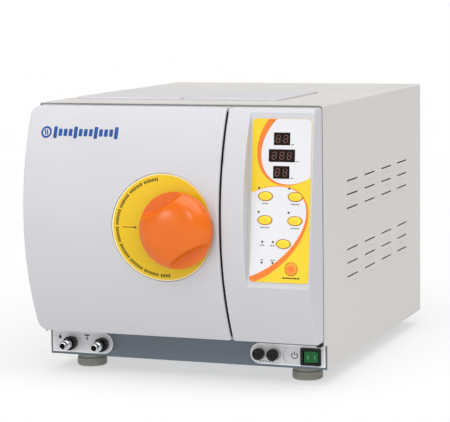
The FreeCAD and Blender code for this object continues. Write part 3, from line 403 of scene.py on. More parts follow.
@dataclass(frozen=True)
class Felt(Finish):
    """Needled fibre mat."""

    def tint(self, graph: Graph, slow: Value) -> bpy.types.NodeSocket:
        """Base colour with fibres."""
        plain = Finish.tint(self, graph, slow)
        fibres = graph.noise(self.grain * MM, 4.0, stretch=(1.0, 7.0, 1.0)).between(0.45, 0.6)
        return graph.blend(fibres * 0.5, plain, tuple(c * 0.55 for c in self.colour))

    def height(self, graph: Graph) -> Value:
        """Crossing fibres."""
        return graph.noise(self.grain * MM, 4.0, stretch=(7.0, 1.0, 1.0)) * 0.5 + graph.noise(
            self.grain * MM, 4.0, stretch=(1.0, 7.0, 1.0)) * 0.5


@dataclass(frozen=True)
class Laminate(Finish):
    """Circuit board: solder resist over copper tracks."""

    def tint(self, graph: Graph, slow: Value) -> bpy.types.NodeSocket:
        """Base colour with lighter tracks and pads."""
        plain = Finish.tint(self, graph, slow)
        tracks = graph.cells(7 * MM, 0.25, "DISTANCE_TO_EDGE").between(0.1, 0.04)
        pads = graph.cells(5 * MM, 0.1).between(0.18, 0.14)
        return graph.blend(pads, graph.blend(tracks * 0.6, plain, (0.04, 0.3, 0.12)), (0.62, 0.6, 0.5))


@dataclass(frozen=True)
class DialFilmWithHighlight(Finish):
    """Round plate of printed film: the colour is darker towards its middle, and a pale line round its rim is
    a painted highlight.
    """

    centre: tuple[float, float, float] = (0.0, 0.0, 0.0)
    radius: float = 0.08
    # rim: colour of the pale line round the rim, a painted highlight
    rim: Colour = (1.0, 1.0, 1.0)

    def tint(self, graph: Graph, slow: Value) -> bpy.types.NodeSocket:
        """Base colour, darker towards the middle, with the painted highlight along the rim.

        Args:
            graph: The material's nodes.
            slow: Slow noise over the surface.

        Returns:
            The colour socket.
        """
        x, _, z = graph.axes(graph.moved(Vector(self.centre), size=(self.radius,) * 3))
        reach = (x * x + z * z) ** 0.5
        face = graph.blend(reach.between(0.5, 0.97), tuple(c * 0.94 for c in self.colour),
                           Finish.tint(self, graph, slow))
        # the pale line round the rim is a painted highlight
        return graph.blend(reach.between(0.972, 0.985), face, self.rim)


@dataclass(frozen=True)
class KeyFilmWithHighlight(Finish):
    """Key cap: a printed dark outline, a bright border, and a slightly deeper middle that is a painted
    highlight.
    """

    centre: tuple[float, float, float] = (0.0, 0.0, 0.0)
    turn: float = 0.0
    half: Point = (0.011, 0.0065)
    outline: Colour = (0.5, 0.2, 0.0)
    # middle: colour of the painted highlight in the key's middle
    middle: Colour = (0.9, 0.5, 0.02)

    def tint(self, graph: Graph, slow: Value) -> bpy.types.NodeSocket:
        """Base colour with the key's printed outline and the painted highlight in its middle.

        Args:
            graph: The material's nodes.
            slow: Slow noise over the surface.

        Returns:
            The colour socket.
        """
        turned = graph.moved(Vector(self.centre), (self.turn, 0, 0), (self.half[0], 1.0, self.half[1]))
        x, _, z = graph.axes(turned)
        reach = (x * x + z * z) ** 0.5
        # the deeper middle is a painted highlight
        face = graph.blend(reach.between(0.75, 0.1), Finish.tint(self, graph, slow), self.middle)
        return graph.blend(reach.between(0.84, 0.9), face, self.outline)


CASE_WHITE = srgb(207, 204, 201)
COVER_WHITE = srgb(197, 197, 201)
METAL = {"Metallic": 1.0}
FILM = {"Coat_Weight": 0.06, "Coat_Roughness": 0.3, "Specular_IOR_Level": 0.35}
DULL = {"Specular_IOR_Level": 0.25}

moulding = partial(Finish, grain=0.5, grain_depth=0.012, mottle=0.012)
film = partial(Finish, grain=0.25, grain_depth=0.004, mottle=0.02, uniform=FILM)
ink = partial(Finish, grain=0.2, grain_depth=0.003)
brushed = partial(Brushed, grain_depth=0.006, mottle=0.03, uniform=METAL)
plated = partial(Finish, uniform=METAL)

WRAP = TexturedPaint("wrap_paint", CASE_WHITE, 0.46, grain=1.1, grain_depth=0.05, mottle=0.015,
                     mottle_size=160)
CHASSIS_PAINT = TexturedPaint("chassis_paint", srgb(92, 103, 114), 0.42, grain=0.9, grain_depth=0.03,
                              mottle=0.04, mottle_size=90)
COVER = moulding("cover_moulding", COVER_WHITE, 0.4, mottle_size=120)
LID_COVER = moulding("lid_moulding", srgb(204, 203, 206), 0.42)
LINING = moulding("lining_moulding", srgb(204, 205, 209), 0.5, grain=0.7, grain_depth=0.03, mottle=0.02)
YELLOW_FILM = film("yellow_film", srgb(232, 199, 40), 0.42)
ORANGE_FILM = film("orange_film", srgb(230, 120, 34), 0.36)
WHITE_FILM = film("white_film", srgb(219, 219, 223), 0.36, mottle=0.01)
LABEL = film("label_film", srgb(212, 212, 215), 0.4, mottle_size=30)
LABEL_EDGE = film("label_border", srgb(236, 237, 240), 0.4, uniform={})
INK = ink("dark_ink", srgb(20, 18, 17), 0.5, mottle=0.15, mottle_size=3, uniform=DULL)
GREY_INK = ink("grey_ink", srgb(120, 116, 122), 0.5, mottle=0.1, mottle_size=3)
BADGE_INK = ink("badge_ink", srgb(24, 74, 142), 0.32, grain=0.3, mottle=0.05, mottle_size=12)
TRIANGLE_INK = ink("start_triangle", srgb(226, 84, 30), 0.4, mottle=0.05, mottle_size=3)
ROCKER_MARK = ink("rocker_mark", srgb(140, 196, 156), 0.4, grain=0.3, mottle=0.05)
LENS = Finish("display_lens", srgb(26, 17, 15), 0.1, grain=0.4, grain_depth=0.001, mottle=0.2,
              mottle_size=8, smudge=0.02, uniform=DULL)
SEGMENT = ink("display_segment", srgb(96, 60, 48), 0.35, grain=0.3, mottle=0.1, mottle_size=4,
              uniform={"Emission_Color": (0.9, 0.25, 0.12), "Emission_Strength": 0.03})
UNLIT = ink("display_unlit_bar", srgb(48, 34, 30), 0.35, grain=0.3, mottle=0.1, mottle_size=4)
LED_LENS = Finish("led_lens_dark", srgb(38, 40, 42), 0.16, grain=0.3, grain_depth=0.002, mottle=0.1,
                  mottle_size=2, uniform={"Coat_Weight": 1.0, "Coat_Roughness": 0.05})
BLACK = Finish("black_moulding", srgb(32, 32, 34), 0.42, grain=0.35, grain_depth=0.015, mottle=0.1,
               mottle_size=15)
GLOSS_BLACK = Finish("black_gloss", srgb(12, 12, 13), 0.3, grain=0.35, grain_depth=0.006, mottle=0.1,
                     mottle_size=15, uniform=DULL)
# painted shade inside the nozzle bores
BORE_SHADE = Finish("painted_bore_shade", srgb(12, 12, 12), 0.8, grain=0.3, mottle=0.2, mottle_size=2)
KNOB_GLOSS = Finish("orange_gloss", srgb(221, 103, 4), 0.23, grain=4.0, grain_depth=0.006, mottle_size=30,
                    smudge=0.03, uniform={"Specular_IOR_Level": 0.42, "Subsurface_Weight": 0.08,
                                          "Subsurface_Scale": 0.004})
ROCKER = Finish("rocker_green", srgb(4, 88, 38), 0.3, grain=0.8, grain_depth=0.004, mottle=0.35,
                mottle_size=7, uniform={"Specular_IOR_Level": 0.3, "Emission_Color": (0.02, 0.5, 0.14),
                                        "Emission_Strength": 0.03})
FOOT_RUBBER = Finish("foot_rubber_grey", srgb(146, 146, 137), 0.72, grain_depth=0.03, mottle=0.1,
                     mottle_size=12)
# black rubber of the bumpers, and the painted shade of the strip along the door's free edge
RUBBER_AND_EDGE_SHADE = Finish("black_rubber_and_edge_shade", srgb(30, 30, 30), 0.75, grain_depth=0.03, mottle=0.15, mottle_size=8)
SILICONE = Finish("silicone_seal", srgb(208, 200, 190), 0.55, grain=0.4, mottle=0.05, mottle_size=12)
FELT = Felt("jacket_felt", srgb(214, 208, 190), 0.95, grain=1.2, grain_depth=0.5, mottle=0.08,
            mottle_size=25)
TANK = Finish("tank_moulding", srgb(214, 222, 228), 0.35, grain=1.2, grain_depth=0.02, mottle=0.04,
              mottle_size=40, uniform={"Transmission_Weight": 0.25})
BOARD = Laminate("circuit_laminate", srgb(16, 92, 52), 0.35, grain=0.5, grain_depth=0.02, mottle=0.1,
                 mottle_size=20)
STAINLESS = brushed("stainless_brushed", srgb(198, 198, 200), 0.32, grain=0.18)
SPUN = brushed("stainless_tube", srgb(190, 190, 192), 0.36, grain=0.2, mottle=0.05, along=1)
MACHINED = brushed("machined_steel", srgb(186, 186, 188), 0.26, grain=0.15, mottle=0.04, along=2)
ANODISED = brushed("tray_anodised", srgb(200, 201, 204), 0.4, grain=0.25, along=1)
CLOSURE = Lathed("closure_turned", srgb(196, 196, 198), 0.3, grain=0.4, grain_depth=0.008, uniform=METAL,
                 centre=(-0.068, 0.0, 0.219))
ZINC = plated("zinc_plate", srgb(176, 178, 184), 0.38, grain=1.6, grain_depth=0.012, mottle=0.12,
              mottle_size=14, smudge=0.14)
CHROME = plated("chrome_plate", srgb(214, 215, 218), 0.09, grain=1.5, grain_depth=0.002, mottle_size=6,
                smudge=0.05)
BRONZE = plated("bronze_cast", srgb(176, 138, 84), 0.38, grain=0.5, grain_depth=0.02, mottle=0.15,
                mottle_size=9)
COPPER = plated("copper_pipe", srgb(196, 122, 88), 0.3, grain=0.8, grain_depth=0.008, mottle=0.2,
                mottle_size=25, smudge=0.2)

NODE_FINISHES = {
    "outer_casing": WRAP, "base_pan": CHASSIS_PAINT, "rear_panel": WRAP, "front_frame": WRAP,
    "control_housing": COVER, "door_cover": COVER, "tank_lid": LID_COVER, "door_lining": LINING,
    "keypad_membrane": YELLOW_FILM, "display_board": BOARD, "power_board": BOARD, "key_switches": BLACK,
    "door_frame": ZINC, "hinge_brackets": ZINC, "hinge_pins": MACHINED, "knob_shaft": MACHINED,
    "latch_bolt": MACHINED, "knob_bush": BRONZE, "keeper": MACHINED, "lock_pin": MACHINED,
    "lock_solenoid": BLACK,
    "chamber_vessel": SPUN, "chamber_gasket": SILICONE, "heater_band": ZINC, "insulation_jacket": FELT,
    "chamber_saddles": ZINC, "tray_rack": STAINLESS, "trays": ANODISED, "clean_water_tank": TANK,
    "used_water_tank": TANK, "water_pump": BLACK, "steam_valves": BRONZE, "steam_pipes": COPPER,
    "cooling_fan_housing": BLACK, "fan_rotor": BLACK, "mains_inlet": BLACK, "strip_labels": LABEL,
    "fuse_holders": BLACK, "fuse_cap_left": GLOSS_BLACK, "fuse_cap_right": GLOSS_BLACK,
    "power_switch_body": GLOSS_BLACK, "case_screws": MACHINED, "bumpers": RUBBER_AND_EDGE_SHADE,
    "door_plate": CLOSURE, "chamber_flange": CLOSURE,
}


# ---- meshes -------------------------------------------------------------------------------------
FRONT_TURN = Matrix.Rotation(math.pi / 2, 4, "X")


def facing(place: Sequence[float]) -> Matrix:
    """Frame at a place, with X to the right, Y up and Z out of the front."""
    return Matrix.Translation(Vector(place)) @ FRONT_TURN


def centre(node: str) -> Vector:
    """Middle of a node's box."""
    low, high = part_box(node)
    return (low + high) / 2


def cage(name: str, points: Iterable[Sequence[float]], faces: Sequence[Sequence[int]]) -> bpy.types.Object:
    """Put a mesh in the scene.

    Args:
        name: Name of the piece.
        points: Its corners in metres.
        faces: Its faces by corner number.

    Returns:
        The object.
    """
    mesh = bpy.data.meshes.new(name)
    mesh.from_pydata([tuple(point) for point in points], [], faces)
    mesh.update()
    made = bpy.data.objects.new(name, mesh)
    bpy.context.scene.collection.objects.link(made)
    return made


def stack(piece: bpy.types.Object, kind: str, **settings: object) -> bpy.types.Object:
    """Add a modifier with these settings."""
    modifier = piece.modifiers.new(kind.title(), kind)
    for key, value in settings.items():
        setattr(modifier, key, value)
    return piece


def settle(piece: bpy.types.Object, place: Matrix = Matrix()) -> bpy.types.Object:
    """Apply a piece's modifiers and then its place, so that its object stays at the origin.

    Args:
        piece: The object.
        place: Where its mesh goes.

    Returns:
        The same object.
    """
    graph = bpy.context.evaluated_depsgraph_get()
    graph.update()
    mesh = bpy.data.meshes.new_from_object(piece.evaluated_get(graph))
    piece.modifiers.clear()
    old, piece.data = piece.data, mesh
    bpy.data.meshes.remove(old)
    mesh.transform(place)
    mesh.name = piece.name
    return piece


def joined(name: str, parts: Sequence[bpy.types.Object]) -> bpy.types.Object:
    """Make one object of several settled ones, which are removed.

    Args:
        name: Name of the new object.
        parts: The objects to take up.

    Returns:
        The new object.
    """
    work = bmesh.new()
    for part in parts:
        work.from_mesh(part.data)
        old = part.data
        bpy.data.objects.remove(part)
        bpy.data.meshes.remove(old)
    made = cage(name, [], [])
    work.to_mesh(made.data)
    work.free()
    made.data.update()
    return made


def rounded(piece: bpy.types.Object, width: float, segments: int = 2,
            angle: float = 28.0) -> bpy.types.Object:
    """Add rounded edges of a width in metres, shaded so that flats stay flat."""
    stack(piece, "BEVEL", width=width, segments=segments, limit_method="ANGLE",
          angle_limit=math.radians(angle))
    return stack(piece, "WEIGHTED_NORMAL", keep_sharp=True)


def turned(name: str, profile: Sequence[Point], place: Matrix, bevel: float = 0.0, steps: int = 64,
           closed: bool = False) -> bpy.types.Object:
    """Turn a profile about the local Z axis.

    Args:
        name: Name of the piece.
        profile: Radius and height in millimetres, from top to bottom.
        place: Where the piece goes.
        bevel: Width of its rounded edges in millimetres.
        steps: Facets round it.
        closed: Whether the profile closes on itself, as a ring's does.

    Returns:
        The settled piece.
    """
    piece = cage(name, [(r * MM, 0, z * MM) for r, z in profile], [])
    count = len(profile)
    piece.data.edges.add(count if closed else count - 1)
    for index, edge in enumerate(piece.data.edges):
        edge.vertices = (index, (index + 1) % count)
    stack(piece, "SCREW", axis="Z", steps=steps, render_steps=steps, use_merge_vertices=True,
          merge_threshold=1e-6, use_smooth_shade=True)
    if bevel:
        rounded(piece, bevel * MM)
    return settle(piece, place)


def circle(x: float, y: float, radius: float, count: int = 48) -> list[Point]:
    """Outline of a circle, counter-clockwise."""
    return ellipse(x, y, radius, radius, 0.0, count)


def ellipse(x: float, y: float, a: float, b: float, tilt: float, count: int = 96) -> list[Point]:
    """Outline of an ellipse of half axes a and b, turned by tilt degrees."""
    cosine, sine = math.cos(math.radians(tilt)), math.sin(math.radians(tilt))
    return [(x + a * math.cos(t) * cosine - b * math.sin(t) * sine,
             y + a * math.cos(t) * sine + b * math.sin(t) * cosine)
            for t in (math.tau * index / count for index in range(count))]


def panel(x0: float, x1: float, y0: float, y1: float, radii: Sequence[float] = (0, 0, 0, 0)) -> list[Point]:
    """Outline of a rectangle with rounded corners.

    Args:
        x0: Left edge.
        x1: Right edge.
        y0: Lower edge.
        y1: Upper edge.
        radii: Of the corners, from the lower left round to the upper left.

    Returns:
        The outline, counterclockwise.
    """
    outline = []
    corners = ((x0, y0, 1, 1, 180), (x1, y0, -1, 1, 270), (x1, y1, -1, -1, 0), (x0, y1, 1, -1, 90))
    for (x, y, right, up, start), radius in zip(corners, radii):
        steps = 8 if radius else 0
        for step in range(steps + 1):
            angle = math.radians(start + 90 * step / max(steps, 1))
            outline.append((x + right * radius + radius * math.cos(angle),
                            y + up * radius + radius * math.sin(angle)))
    return outline


def bar(x: float, y: float, length: float, width: float, angle: float = 0.0) -> list[Point]:
    """Outline of a straight bar about its middle, turned by an angle in degrees."""
    cosine, sine = math.cos(math.radians(angle)), math.sin(math.radians(angle))
    return [(x + u * cosine - v * sine, y + u * sine + v * cosine)
            for u, v in ((-length / 2, -width / 2), (length / 2, -width / 2),
                         (length / 2, width / 2), (-length / 2, width / 2))]


def ribbon(line: Sequence[Point], width: float) -> list[Point]:
    """Outline of a strip along a line.

    Args:
        line: Points of its middle.
        width: Width of the strip.

    Returns:
        The outline.
    """
    left, right = [], []
    for index, (x, y) in enumerate(line):
        before, after = line[max(index - 1, 0)], line[min(index + 1, len(line) - 1)]
        along = Vector((after[0] - before[0], after[1] - before[1])).normalized() * (width / 2)
        left.append((x - along.y, y + along.x))
        right.append((x + along.y, y - along.x))
    return right + left[::-1]


def arc(x: float, y: float, radius: float, start: float, end: float, count: int = 24) -> list[Point]:
    """Points along an arc between two angles in degrees."""
    return [(x + radius * math.cos(math.radians(start + (end - start) * step / count)),
             y + radius * math.sin(math.radians(start + (end - start) * step / count)))
            for step in range(count + 1)]


def turns_left(outline: Sequence[Point]) -> bool:
    """Whether an outline runs counter-clockwise."""
    return sum(a[0] * b[1] - b[0] * a[1] for a, b in zip(outline, [*outline[1:], outline[0]])) > 0


def flat(name: str, outlines: Sequence[Sequence[Point]], keep: Callable[[set[int]], bool],
         row: float = 0.0) -> bpy.types.Object:
    """Fill some of the regions that overlapping outlines make.

    Args:
        name: Name of the piece.
        outlines: Closed outlines in millimetres.
        keep: Says from the numbers of the outlines around a region whether it is filled.
        row: Distance in millimetres between rows of corners that let the piece bend, or 0.

    Returns:
        A flat mesh in the local XY plane.
    """
    outlines = [outline if turns_left(outline) else outline[::-1] for outline in outlines]
    points = [Vector(point) for outline in outlines for point in outline]
    rings, start = [], 0
    for outline in outlines:
        rings.append(list(range(start, start + len(outline))))
        start += len(outline)
    lines = []
    if row:
        low, high = min(p.y for p in points), max(p.y for p in points)
        left, right = min(p.x for p in points) - 1, max(p.x for p in points) + 1
        for step in range(1, int((high - low) / row) + 1):
            lines.append((len(points), len(points) + 1))
            points += [Vector((left, low + step * row)), Vector((right, low + step * row))]
    corners, _, faces, _, _, owners = delaunay_2d_cdt(points, lines, rings, 1, 1e-6, True)
    kept = [face for face, owner in zip(faces, owners) if keep(set(owner))]
    used = sorted({corner for face in kept for corner in face})
    number = {corner: index for index, corner in enumerate(used)}
    return cage(name, [(corners[i].x * MM, corners[i].y * MM, 0) for i in used],
                [[number[corner] for corner in face] for face in kept])


def inside(owners: set[int]) -> bool:
    """Rule that fills every region inside an outline."""
    return bool(owners)


def ring_only(owners: set[int]) -> bool:
    """Rule that fills what lies in one outline but not in the one within it."""
    return len(owners) == 1


def plate(name: str, outlines: Sequence[Sequence[Point]], keep: Callable[[set[int]], bool],
          thickness: float,
          place: Matrix, bevel: float = 0.0) -> bpy.types.Object:
    """A flat plate that stands out of its plane by a thickness in millimetres.

    Args:
        name: Name of the piece.
        outlines: Closed outlines in millimetres.
        keep: Rule for the regions that are filled.
        thickness: How far it stands out.
        place: Where it goes.
        bevel: Width of its rounded edges in millimetres.

    Returns:
        The settled piece.
    """
    piece = flat(name, outlines, keep)
    if bevel:
        stack(piece, "DECIMATE", decimate_type="DISSOLVE", angle_limit=math.radians(1))
    stack(piece, "SOLIDIFY", thickness=thickness * MM, offset=1.0)
    if bevel:
        rounded(piece, bevel * MM)
    return settle(piece, place)


@dataclass(frozen=True)
class Bow:
    """The bowed front that the door and the control housing share: a cylinder along X."""

    radius: float
    y: float
    z: float

    def wrapped(self, piece: bpy.types.Object, thickness: float, inset: float = 0.0) -> bpy.types.Object:
        """Lay a flat piece, drawn with X to the right and Y as height, on the bow.

        Args:
            piece: The flat piece, in metres.
            thickness: How far it stands out, in millimetres.
            inset: How far behind the bow its back lies, in metres.

        Returns:
            The settled piece.
        """
        stack(piece, "SOLIDIFY", thickness=thickness * MM, offset=1.0)
        settle(piece)
        for vertex in piece.data.vertices:
            x, z, out = vertex.co
            reach = self.radius - inset + out
            vertex.co = (x, self.y - math.sqrt(reach ** 2 - (z - self.z) ** 2), z)
        piece.data.update()
        return piece


def finish_piece(piece: bpy.types.Object, finish: Finish, body: Body, slot: str,
                 *nodes: str) -> bpy.types.Object:
    """Dress a piece, seat it on its body and report it.

    Args:
        piece: The object.
        finish: Its finish.
        body: The body that it rides on.
        slot: The material slot of the record that it belongs to; not used.
        nodes: The nodes that it stands for.

    Returns:
        The same object.
    """
    piece.data.materials.clear()
    piece.data.materials.append(finish.build())
    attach(piece, body.value)
    if nodes:
        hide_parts(*nodes)
    LOG.info("%s: %d faces on %s", piece.name, len(piece.data.polygons), body.value)
    return piece


def dress(node: str, finish: Finish) -> None:
    """Give a shown node its finish, and leave its mesh alone.

    Args:
        node: Name of the node.
        finish: What it is made of.
    """
    piece = bpy.data.objects[node]
    for slot in piece.material_slots:
        slot.link = "OBJECT"
        slot.material = finish.build()
    LOG.info("%s: %s", node, finish.name)


# ---- knob and disc ------------------------------------------------------------------------------
@dataclass
class DoorDial:
    """The glossy locking knob and the marks printed on the yellow disc behind it."""

    bow: Bow
    knob_radius: float = 55.5
    knob_base: float = -0.299
    rim_height: float = 13.0
    dome_height: float = 19.0
    scoop_radius: float = 150.0
    bar_half: float = 34.0
    bar_angle: float = 30.0
    scoop_floor: float = 13.5
    scoop_blend: float = 4.0
    rows: int = 56
    spokes: int = 144
    disc_x: float = 0.0
    disc_z: float = 235.0
    disc_radius: float = 78.5
    disc_inset: float = 0.0012
    scale_radius: float = 70.5
    scale_start: float = 97.0
    scale_pitch: float = 2.1

    def height(self, x: float, z: float) -> float:
        """Height of the knob's face over its back.

        Args:
            x: Millimetres to the right of its middle.
            z: Millimetres above its middle.

        Returns:
            The height in millimetres.
        """
        share = min(math.hypot(x, z) / self.knob_radius, 1.0)
        dome = self.rim_height + self.dome_height * math.sqrt(1 - share ** 3)
        across = (-math.sin(math.radians(self.bar_angle)), math.cos(math.radians(self.bar_angle)))
        reach = self.bar_half + self.scoop_radius
        depth = max(self.scoop_radius - math.hypot(x - side * across[0] * reach,
                                                   z - side * across[1] * reach) for side in (-1, 1))
        share = min(max(depth / self.scoop_blend, 0.0), 1.0)
        blend = share * share * (3 - 2 * share)
        return dome + (min(dome, self.scoop_floor) - dome) * blend

    def knob(self) -> None:
        """Build the knob as a polar cage of rings that crowd towards its rim."""
        middle = centre("lock_knob")
        place = facing((middle.x, self.knob_base, middle.z))
        points = [(0.0, 0.0, self.height(0, 0))]
        for row in range(1, self.rows + 1):
            share = math.sin(math.pi / 2 * row / self.rows)
            radius = self.knob_radius * min(share, 0.999)
            points += [(radius * math.cos(t), radius * math.sin(t),
                        self.height(radius * math.cos(t), radius * math.sin(t))) for t in self.turns()]
        for inset, height in ((0.0, 12.6), (0.0, 9.0), (0.6, 5.0), (1.8, 2.2), (3.6, 0.4), (5.5, 0.0)):
            radius = self.knob_radius - inset
            points += [(radius * math.cos(t), radius * math.sin(t), height) for t in self.turns()]
        points.append((0.0, 0.0, 0.0))
        rings = self.rows + 6
        faces = [(0, 1 + k, 1 + (k + 1) % self.spokes) for k in range(self.spokes)]
        for ring in range(rings - 1):
            first, second = 1 + ring * self.spokes, 1 + (ring + 1) * self.spokes
            for k in range(self.spokes):
                after = (k + 1) % self.spokes
                faces.append((first + k, second + k, second + after, first + after))
        last = 1 + (rings - 1) * self.spokes
        faces += [(last + k, len(points) - 1, last + (k + 1) % self.spokes) for k in range(self.spokes)]
        piece = cage("knob_shell", [tuple(c * MM for c in point) for point in points], faces)
        for face in piece.data.polygons:
            face.use_smooth = True
        stack(piece, "SUBSURF", levels=1, render_levels=1)
        finish_piece(settle(piece, place), KNOB_GLOSS, Body.KNOB, "orange_knob", "lock_knob")

    def turns(self) -> list[float]:
        """The angles of the spokes."""
        return [math.tau * k / self.spokes for k in range(self.spokes)]

    def disc(self) -> None:
        """Dress the disc and print its scale and pointer."""
        # the disc's film paints a pale highlight line round its rim
        dress("door_disc", DialFilmWithHighlight("disc_film_and_highlight", srgb(224, 185, 12), 0.42, grain=0.25, grain_depth=0.004,
                                    mottle=0.02, uniform=FILM, radius=self.disc_radius * MM,
                                    centre=(self.disc_x * MM, 0.0, self.disc_z * MM),
                                    rim=srgb(252, 240, 190)))
        ticks = []
        for step in range(86):
            angle = self.scale_start + self.scale_pitch * step
            if step % 10 == 9:
                continue
            length = 5.2 if step % 5 == 0 else 4.2
            ticks.append(bar(self.disc_x + self.scale_radius * math.cos(math.radians(angle)),
                             self.disc_z + self.scale_radius * math.sin(math.radians(angle)),
                             length, 1.6, angle))
        scale = self.bow.wrapped(flat("disc_scale", ticks, inside, row=6.0), 0.06, self.disc_inset)
        finish_piece(scale, INK, Body.DOOR, "yellow_disc")
        edge = centre("lock_knob").x / MM - self.knob_radius
        arrow = [bar(edge - 32.5 + 4.6 * k, self.disc_z, 3.4, 1.3) for k in range(4)]
        arrow.append([(edge - 16.0, self.disc_z - 2.0), (edge - 12.0, self.disc_z),
                      (edge - 16.0, self.disc_z + 2.0)])
        pointer = self.bow.wrapped(flat("disc_pointer", arrow, inside), 0.06, self.disc_inset)
        finish_piece(pointer, INK, Body.DOOR, "yellow_disc")

    def build(self) -> None:
        """Make the knob and the disc's print."""
        self.knob()
        self.disc()


# ---- badge --------------------------------------------------------------------------------------
@dataclass
class DoorBadge:
    """A plain blue mark on the door: a ring of steam waves and a row of scale bars."""

    bow: Bow
    left: float = -200.0
    right: float = -77.0
    low: float = 360.5
    high: float = 377.5

    def build(self) -> None:
        """Lay the mark on the bow."""
        middle = (self.low + self.high) / 2
        radius = (self.high - self.low) / 2
        x = self.left + radius
        rings = [circle(x, middle, radius), circle(x, middle, radius - 2.9)]
        waves = [ribbon([(x + shift + 0.8 * math.sin(t * math.tau / 8), middle - 4.0 + t)
                         for t in range(9)], 2.0) for shift in (-1.7, 1.7)]
        ring = flat("badge_ring", rings, ring_only, row=3.0)
        marks = list(waves)
        position, index = x + radius + 6.2, 0
        while position < self.right:
            tall = radius if index % 4 == 0 else radius * 0.62
            marks.append(panel(position - 2.9, position + 2.9, middle - tall, middle + tall, (1.4,) * 4))
            position += 8.15
            index += 1
        bars = flat("badge_bars", marks, inside, row=3.0)
        for piece in (ring, bars):
            finish_piece(self.bow.wrapped(piece, 0.08), BADGE_INK, Body.DOOR, "moulded_cover")


@dataclass
class EdgeShadeStrip:
    """Dark strip along the door's free edge, shaped as a rubber trim, that paints the shade in the gap to
    the control housing.
    """

    bow: Bow
    proud: float = 0.35
    front: float = 2.6
    depth: float = 13.0
    low: float = 74.0
    high: float = 401.0
    steps: int = 48

    def build(self) -> None:
        """Sweep the shade strip's section up the bow."""
        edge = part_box("door_cover")[1].x
        section = ((0.0, self.front), (self.proud, self.front + 0.6), (self.proud, self.depth),
                   (0.0, self.depth))
        points = []
        for step in range(self.steps + 1):
            z = (self.low + (self.high - self.low) * step / self.steps) * MM
            for out, inset in section:
                reach = self.bow.radius - inset * MM
                points.append((edge + (out - 0.02) * MM,
                               self.bow.y - math.sqrt(reach ** 2 - (z - self.bow.z) ** 2), z))
        faces = [(0, 1, 2, 3), tuple(4 * self.steps + k for k in (3, 2, 1, 0))]
        for step in range(self.steps):
            for k in range(4):
                low, after = 4 * step, (k + 1) % 4
                faces.append((low + k, low + 4 + k, low + 4 + after, low + after))
        piece = cage("door_edge_shade_strip", points, faces)
        work = bmesh.new()
        work.from_mesh(piece.data)
        bmesh.ops.recalc_face_normals(work, faces=work.faces)
        work.to_mesh(piece.data)
        work.free()
        # the strip's black is painted shade in the gap
        finish_piece(piece, RUBBER_AND_EDGE_SHADE, Body.DOOR, "black_rubber")


